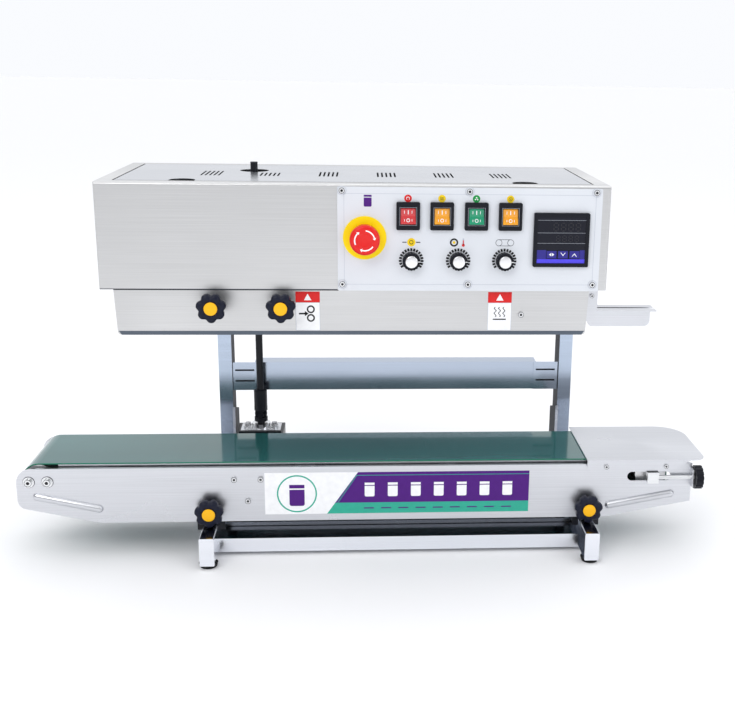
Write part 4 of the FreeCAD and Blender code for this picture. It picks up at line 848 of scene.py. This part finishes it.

# folded hem of the front guard in a dark steel, which is painted shade; and a black strip along the guard's
# top edge, the painted shadow of the casing above
hem_top = guard_low[2] + 5.4 * MM
print_shapes("guard_hem_shade", [[(guard_low[0] + 8 * MM, guard_low[2]), (guard_high[0] - 8 * MM, guard_low[2]),
                            (guard_high[0] - 4 * MM, hem_top), (guard_low[0] + 4 * MM, hem_top)]],
             guard_low[1], HEM_SHADE_STEEL, "frame", 0.5 * MM)
print_shapes("guard_top_shadow", [rect(guard_low[0] + 0.5 * MM, guard_high[2] - 2 * MM,
                                guard_high[0] - 0.5 * MM, guard_high[2])],
             guard_low[1], INK_BLACK, "frame", 0.3 * MM)

# painted shadow line along the casing's lower hem, left of the panel
casing_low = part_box("head_casing")[0]
print_shapes("casing_hem_shadow", [rect(casing_low[0] + 1 * MM, casing_low[2], panel_low[0] - 0.5 * MM,
                                 casing_low[2] + 1.1 * MM)],
             casing_low[1] + MARK, INK_DARK, "frame", FILM)

# grey inner frames of the rocker switches
bezel_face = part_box("switch_bezels")[0][1]
for label in SWITCHES:
    low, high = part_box(f"{label}_rocker")
    margin = 1.5 * MM
    print_shapes(f"{label}_window", outline_frame(low[0] - margin, low[2] - margin, high[0] + margin,
                                                  high[2] + margin, LINE),
                 bezel_face, INK_GREY, "frame")

# black strips of the rubber material in the seam round the lid: painted shade in the seam
casing_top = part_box("head_casing")[1][2]
lid_low, lid_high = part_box("lid")


def flat_bar(bm, low, high):
    """Adds a plain bar between two corners."""
    made = bmesh.ops.create_cube(bm, size=1)["verts"]
    for vert in made:
        vert.co = Vector([(a + b) / 2 + (b - a) * c for a, b, c in zip(low, high, vert.co)])


bm = bmesh.new()
NEAR, FAR, SUNK = 0.2 * MM, 1.9 * MM, 0.3 * MM
for x_low, x_high in ((lid_low[0] - FAR, lid_low[0] - NEAR), (lid_high[0] + NEAR, lid_high[0] + FAR)):
    flat_bar(bm, (x_low, lid_low[1] - 0.8 * MM, casing_top - SUNK), (x_high, lid_high[1], casing_top + FILM))
flat_bar(bm, (lid_low[0] - FAR, lid_low[1] - 1 * MM, casing_top - SUNK),
         (lid_high[0] + FAR, lid_low[1] - NEAR, casing_top + PRINT))
finish_mesh("lid_seam_shade", bm, RUBBER, "frame")


BEAD_HALF, BEAD_PROUD, BEAD_SUNK = 5.4 * MM, 4.6 * MM, 0.8 * MM


def bead(bm, start, end, face, sign):
    """Adds a pressed bead with round ends on a plate face, standing out towards sign along Y."""
    line = Vector((end[0] - start[0], 0, end[1] - start[1]))
    made = bmesh.ops.create_uvsphere(bm, u_segments=24, v_segments=16, radius=BEAD_HALF)["verts"]
    turn = line.to_track_quat("Z", "Y").to_matrix()
    half = line.length / 2 - BEAD_HALF
    middle_point = Vector(((start[0] + end[0]) / 2, face, (start[1] + end[1]) / 2))
    # the 1e-9 sends the equator's points to the far end
    for vert in made:
        shifted = turn @ (vert.co + Vector((0, 0, math.copysign(half, vert.co.z + 1e-9))))
        shifted.y *= (BEAD_PROUD if shifted.y * sign > 0 else BEAD_SUNK) / BEAD_HALF
        vert.co = middle_point + shifted


# each bead runs between two points, in mm from an end of the plate and from its foot
BEADS = ((plate_low[0], (21, 40.5), (113, 19.5)), (plate_high[0], (-121.5, 16.7), (-23.5, 35.1)))
for label, face, sign in (("front", SIDE_FACE, -1), ("rear", REAR_FACE, 1)):
    bm = bmesh.new()
    for edge, near, far in BEADS:
        bead(bm, (edge + near[0] * MM, plate_low[2] + near[1] * MM),
             (edge + far[0] * MM, plate_low[2] + far[1] * MM), face, sign)
    finish_mesh(f"{label}_beads", bm, PLATE_STEEL, "conveyor", 60)

# flange bearing on the shaft bracket
shaft = middle("drive_shaft")
bm = bmesh.new()
SHIM_X, SHIM_Y = 30 * MM, 17 * MM
flat_bar(bm, (shaft[0] - SHIM_X, shaft[1] - SHIM_Y, bridge_top - MARK),
         (shaft[0] + SHIM_X, shaft[1] + SHIM_Y, bridge_top + 0.6 * MM))
finish_mesh("bearing_shim", bm, PLATE_STEEL, "conveyor")
bm = bmesh.new()
for dx in (-20, 20):
    for radius, low_z, high_z, sides in ((5.4, 4, 5, 32), (4.4, 5, 8, 6)):
        place = Matrix.Translation((shaft[0] + dx * MM, shaft[1], bridge_top + (low_z + high_z) / 2 * MM))
        bmesh.ops.create_cone(bm, cap_ends=True, segments=sides, radius1=radius * MM, radius2=radius * MM,
                              depth=(high_z - low_z) * MM, matrix=place)
finish_mesh("bearing_bolts", bm, MACHINED, "conveyor")

# dark strips behind the adjusting slots of the bag rest: painted shade in the slots
BRACKET_THICK, SLOT_HALF = 2 * MM, 2 * MM
brackets = [corners for corners in solids("cross_panel") if corners[1][1] - corners[0][1] < BRACKET_THICK]
bm = bmesh.new()
for low, high in brackets:
    for z in (low[2] + 14.8 * MM, low[2] + 31.8 * MM):
        flat_bar(bm, (low[0] + 3 * MM, high[1], z - SLOT_HALF),
                 (high[0] - 4 * MM, high[1] + 0.4 * MM, z + SLOT_HALF))
finish_mesh("rest_slot_shade", bm, RUBBER, "frame")

# ---------------------------------------------------------------- stage, light and camera
FLOOR = 30.0
mesh = bpy.data.meshes.new("floor")
mesh.from_pydata([(x, y, 0) for x, y in rect(-FLOOR, -FLOOR, FLOOR, FLOOR)], [], [(0, 1, 2, 3)])
floor = bpy.data.objects.new("floor", mesh)
scene.collection.objects.link(floor)
floor.data.materials.append(new_material("floor_pale", (0.90, 0.90, 0.91), 0.7))

scene.view_settings.view_transform = "Standard"
world = bpy.data.worlds.new("studio")
scene.world = world
world.use_nodes = True
tree = world.node_tree
place = tree.nodes.new("ShaderNodeTexCoord")
split = tree.nodes.new("ShaderNodeSeparateXYZ")
tree.links.new(place.outputs["Generated"], split.inputs["Vector"])
# white behind the machine and up to the horizon all round, dimmer on the side of the camera
fade = map_range(tree, split.outputs["Y"], -0.5, 0.3, 0.36, 1.0)
horizon = map_range(tree, split.outputs["Z"], 0.04, 0.25, 0.95, 0.0)
brighter = tree.nodes.new("ShaderNodeMath")
brighter.operation = "MAXIMUM"
tree.links.new(fade, brighter.inputs[0])
tree.links.new(horizon, brighter.inputs[1])
background = tree.nodes["Background"]
background.inputs["Color"].default_value = (0.955, 0.97, 1.0, 1)
tree.links.new(brighter.outputs["Value"], background.inputs["Strength"])


def area_light(name, place, target, power, wide, tall, color=(1, 1, 1)):
    """A rectangular lamp of power watts at place, facing target."""
    data = bpy.data.lights.new(name, "AREA")
    data.shape = "RECTANGLE"
    data.size, data.size_y = wide, tall
    data.energy = power
    data.color = color
    lamp = bpy.data.objects.new(name, data)
    lamp.location = place
    lamp.rotation_euler = (Vector(target) - Vector(place)).to_track_quat("-Z", "Y").to_euler()
    scene.collection.objects.link(lamp)


area_light("key", (-1.2, -2.4, 2.2), (0, 0, 0.25), 28, 1.6, 1.6)
area_light("fill", (1.9, -1.8, 1.3), (0, 0, 0.25), 12, 1.4, 1.4, (0.93, 0.96, 1))
area_light("back", (0.4, 2.0, 3.0), (0, 0, 0.2), 8, 1.6, 1.0)
overhead = bpy.data.lights.new("overhead", "SUN")
overhead.energy = 1.2
overhead.angle = math.radians(100)
lamp = bpy.data.objects.new("overhead", overhead)
lamp.location = (0, 0, 3)
scene.collection.objects.link(lamp)

# the photo's camera: turned to the right, tipped down and rolled, in radians
YAW, PITCH, ROLL = 0.0786, 0.2679, 0.0186
EYE, LENS, SHIFT = (-0.0035, -1.560, 0.671), 54.15, -0.1113
forward = Vector((math.sin(YAW) * math.cos(PITCH), math.cos(YAW) * math.cos(PITCH), -math.sin(PITCH)))
level = Vector((math.cos(YAW), -math.sin(YAW), 0))
upward = level.cross(forward)
right_axis = level * math.cos(ROLL) + upward * math.sin(ROLL)
up_axis = upward * math.cos(ROLL) - level * math.sin(ROLL)
camera_data = bpy.data.cameras.new("camera")
camera_data.sensor_width = 36
camera_data.lens = LENS
camera_data.shift_x = SHIFT
camera = bpy.data.objects.new("camera", camera_data)
turn = Matrix((right_axis, up_axis, -forward)).transposed().to_4x4()
camera.matrix_world = Matrix.Translation(EYE) @ turn
scene.collection.objects.link(camera)
scene.camera = camera
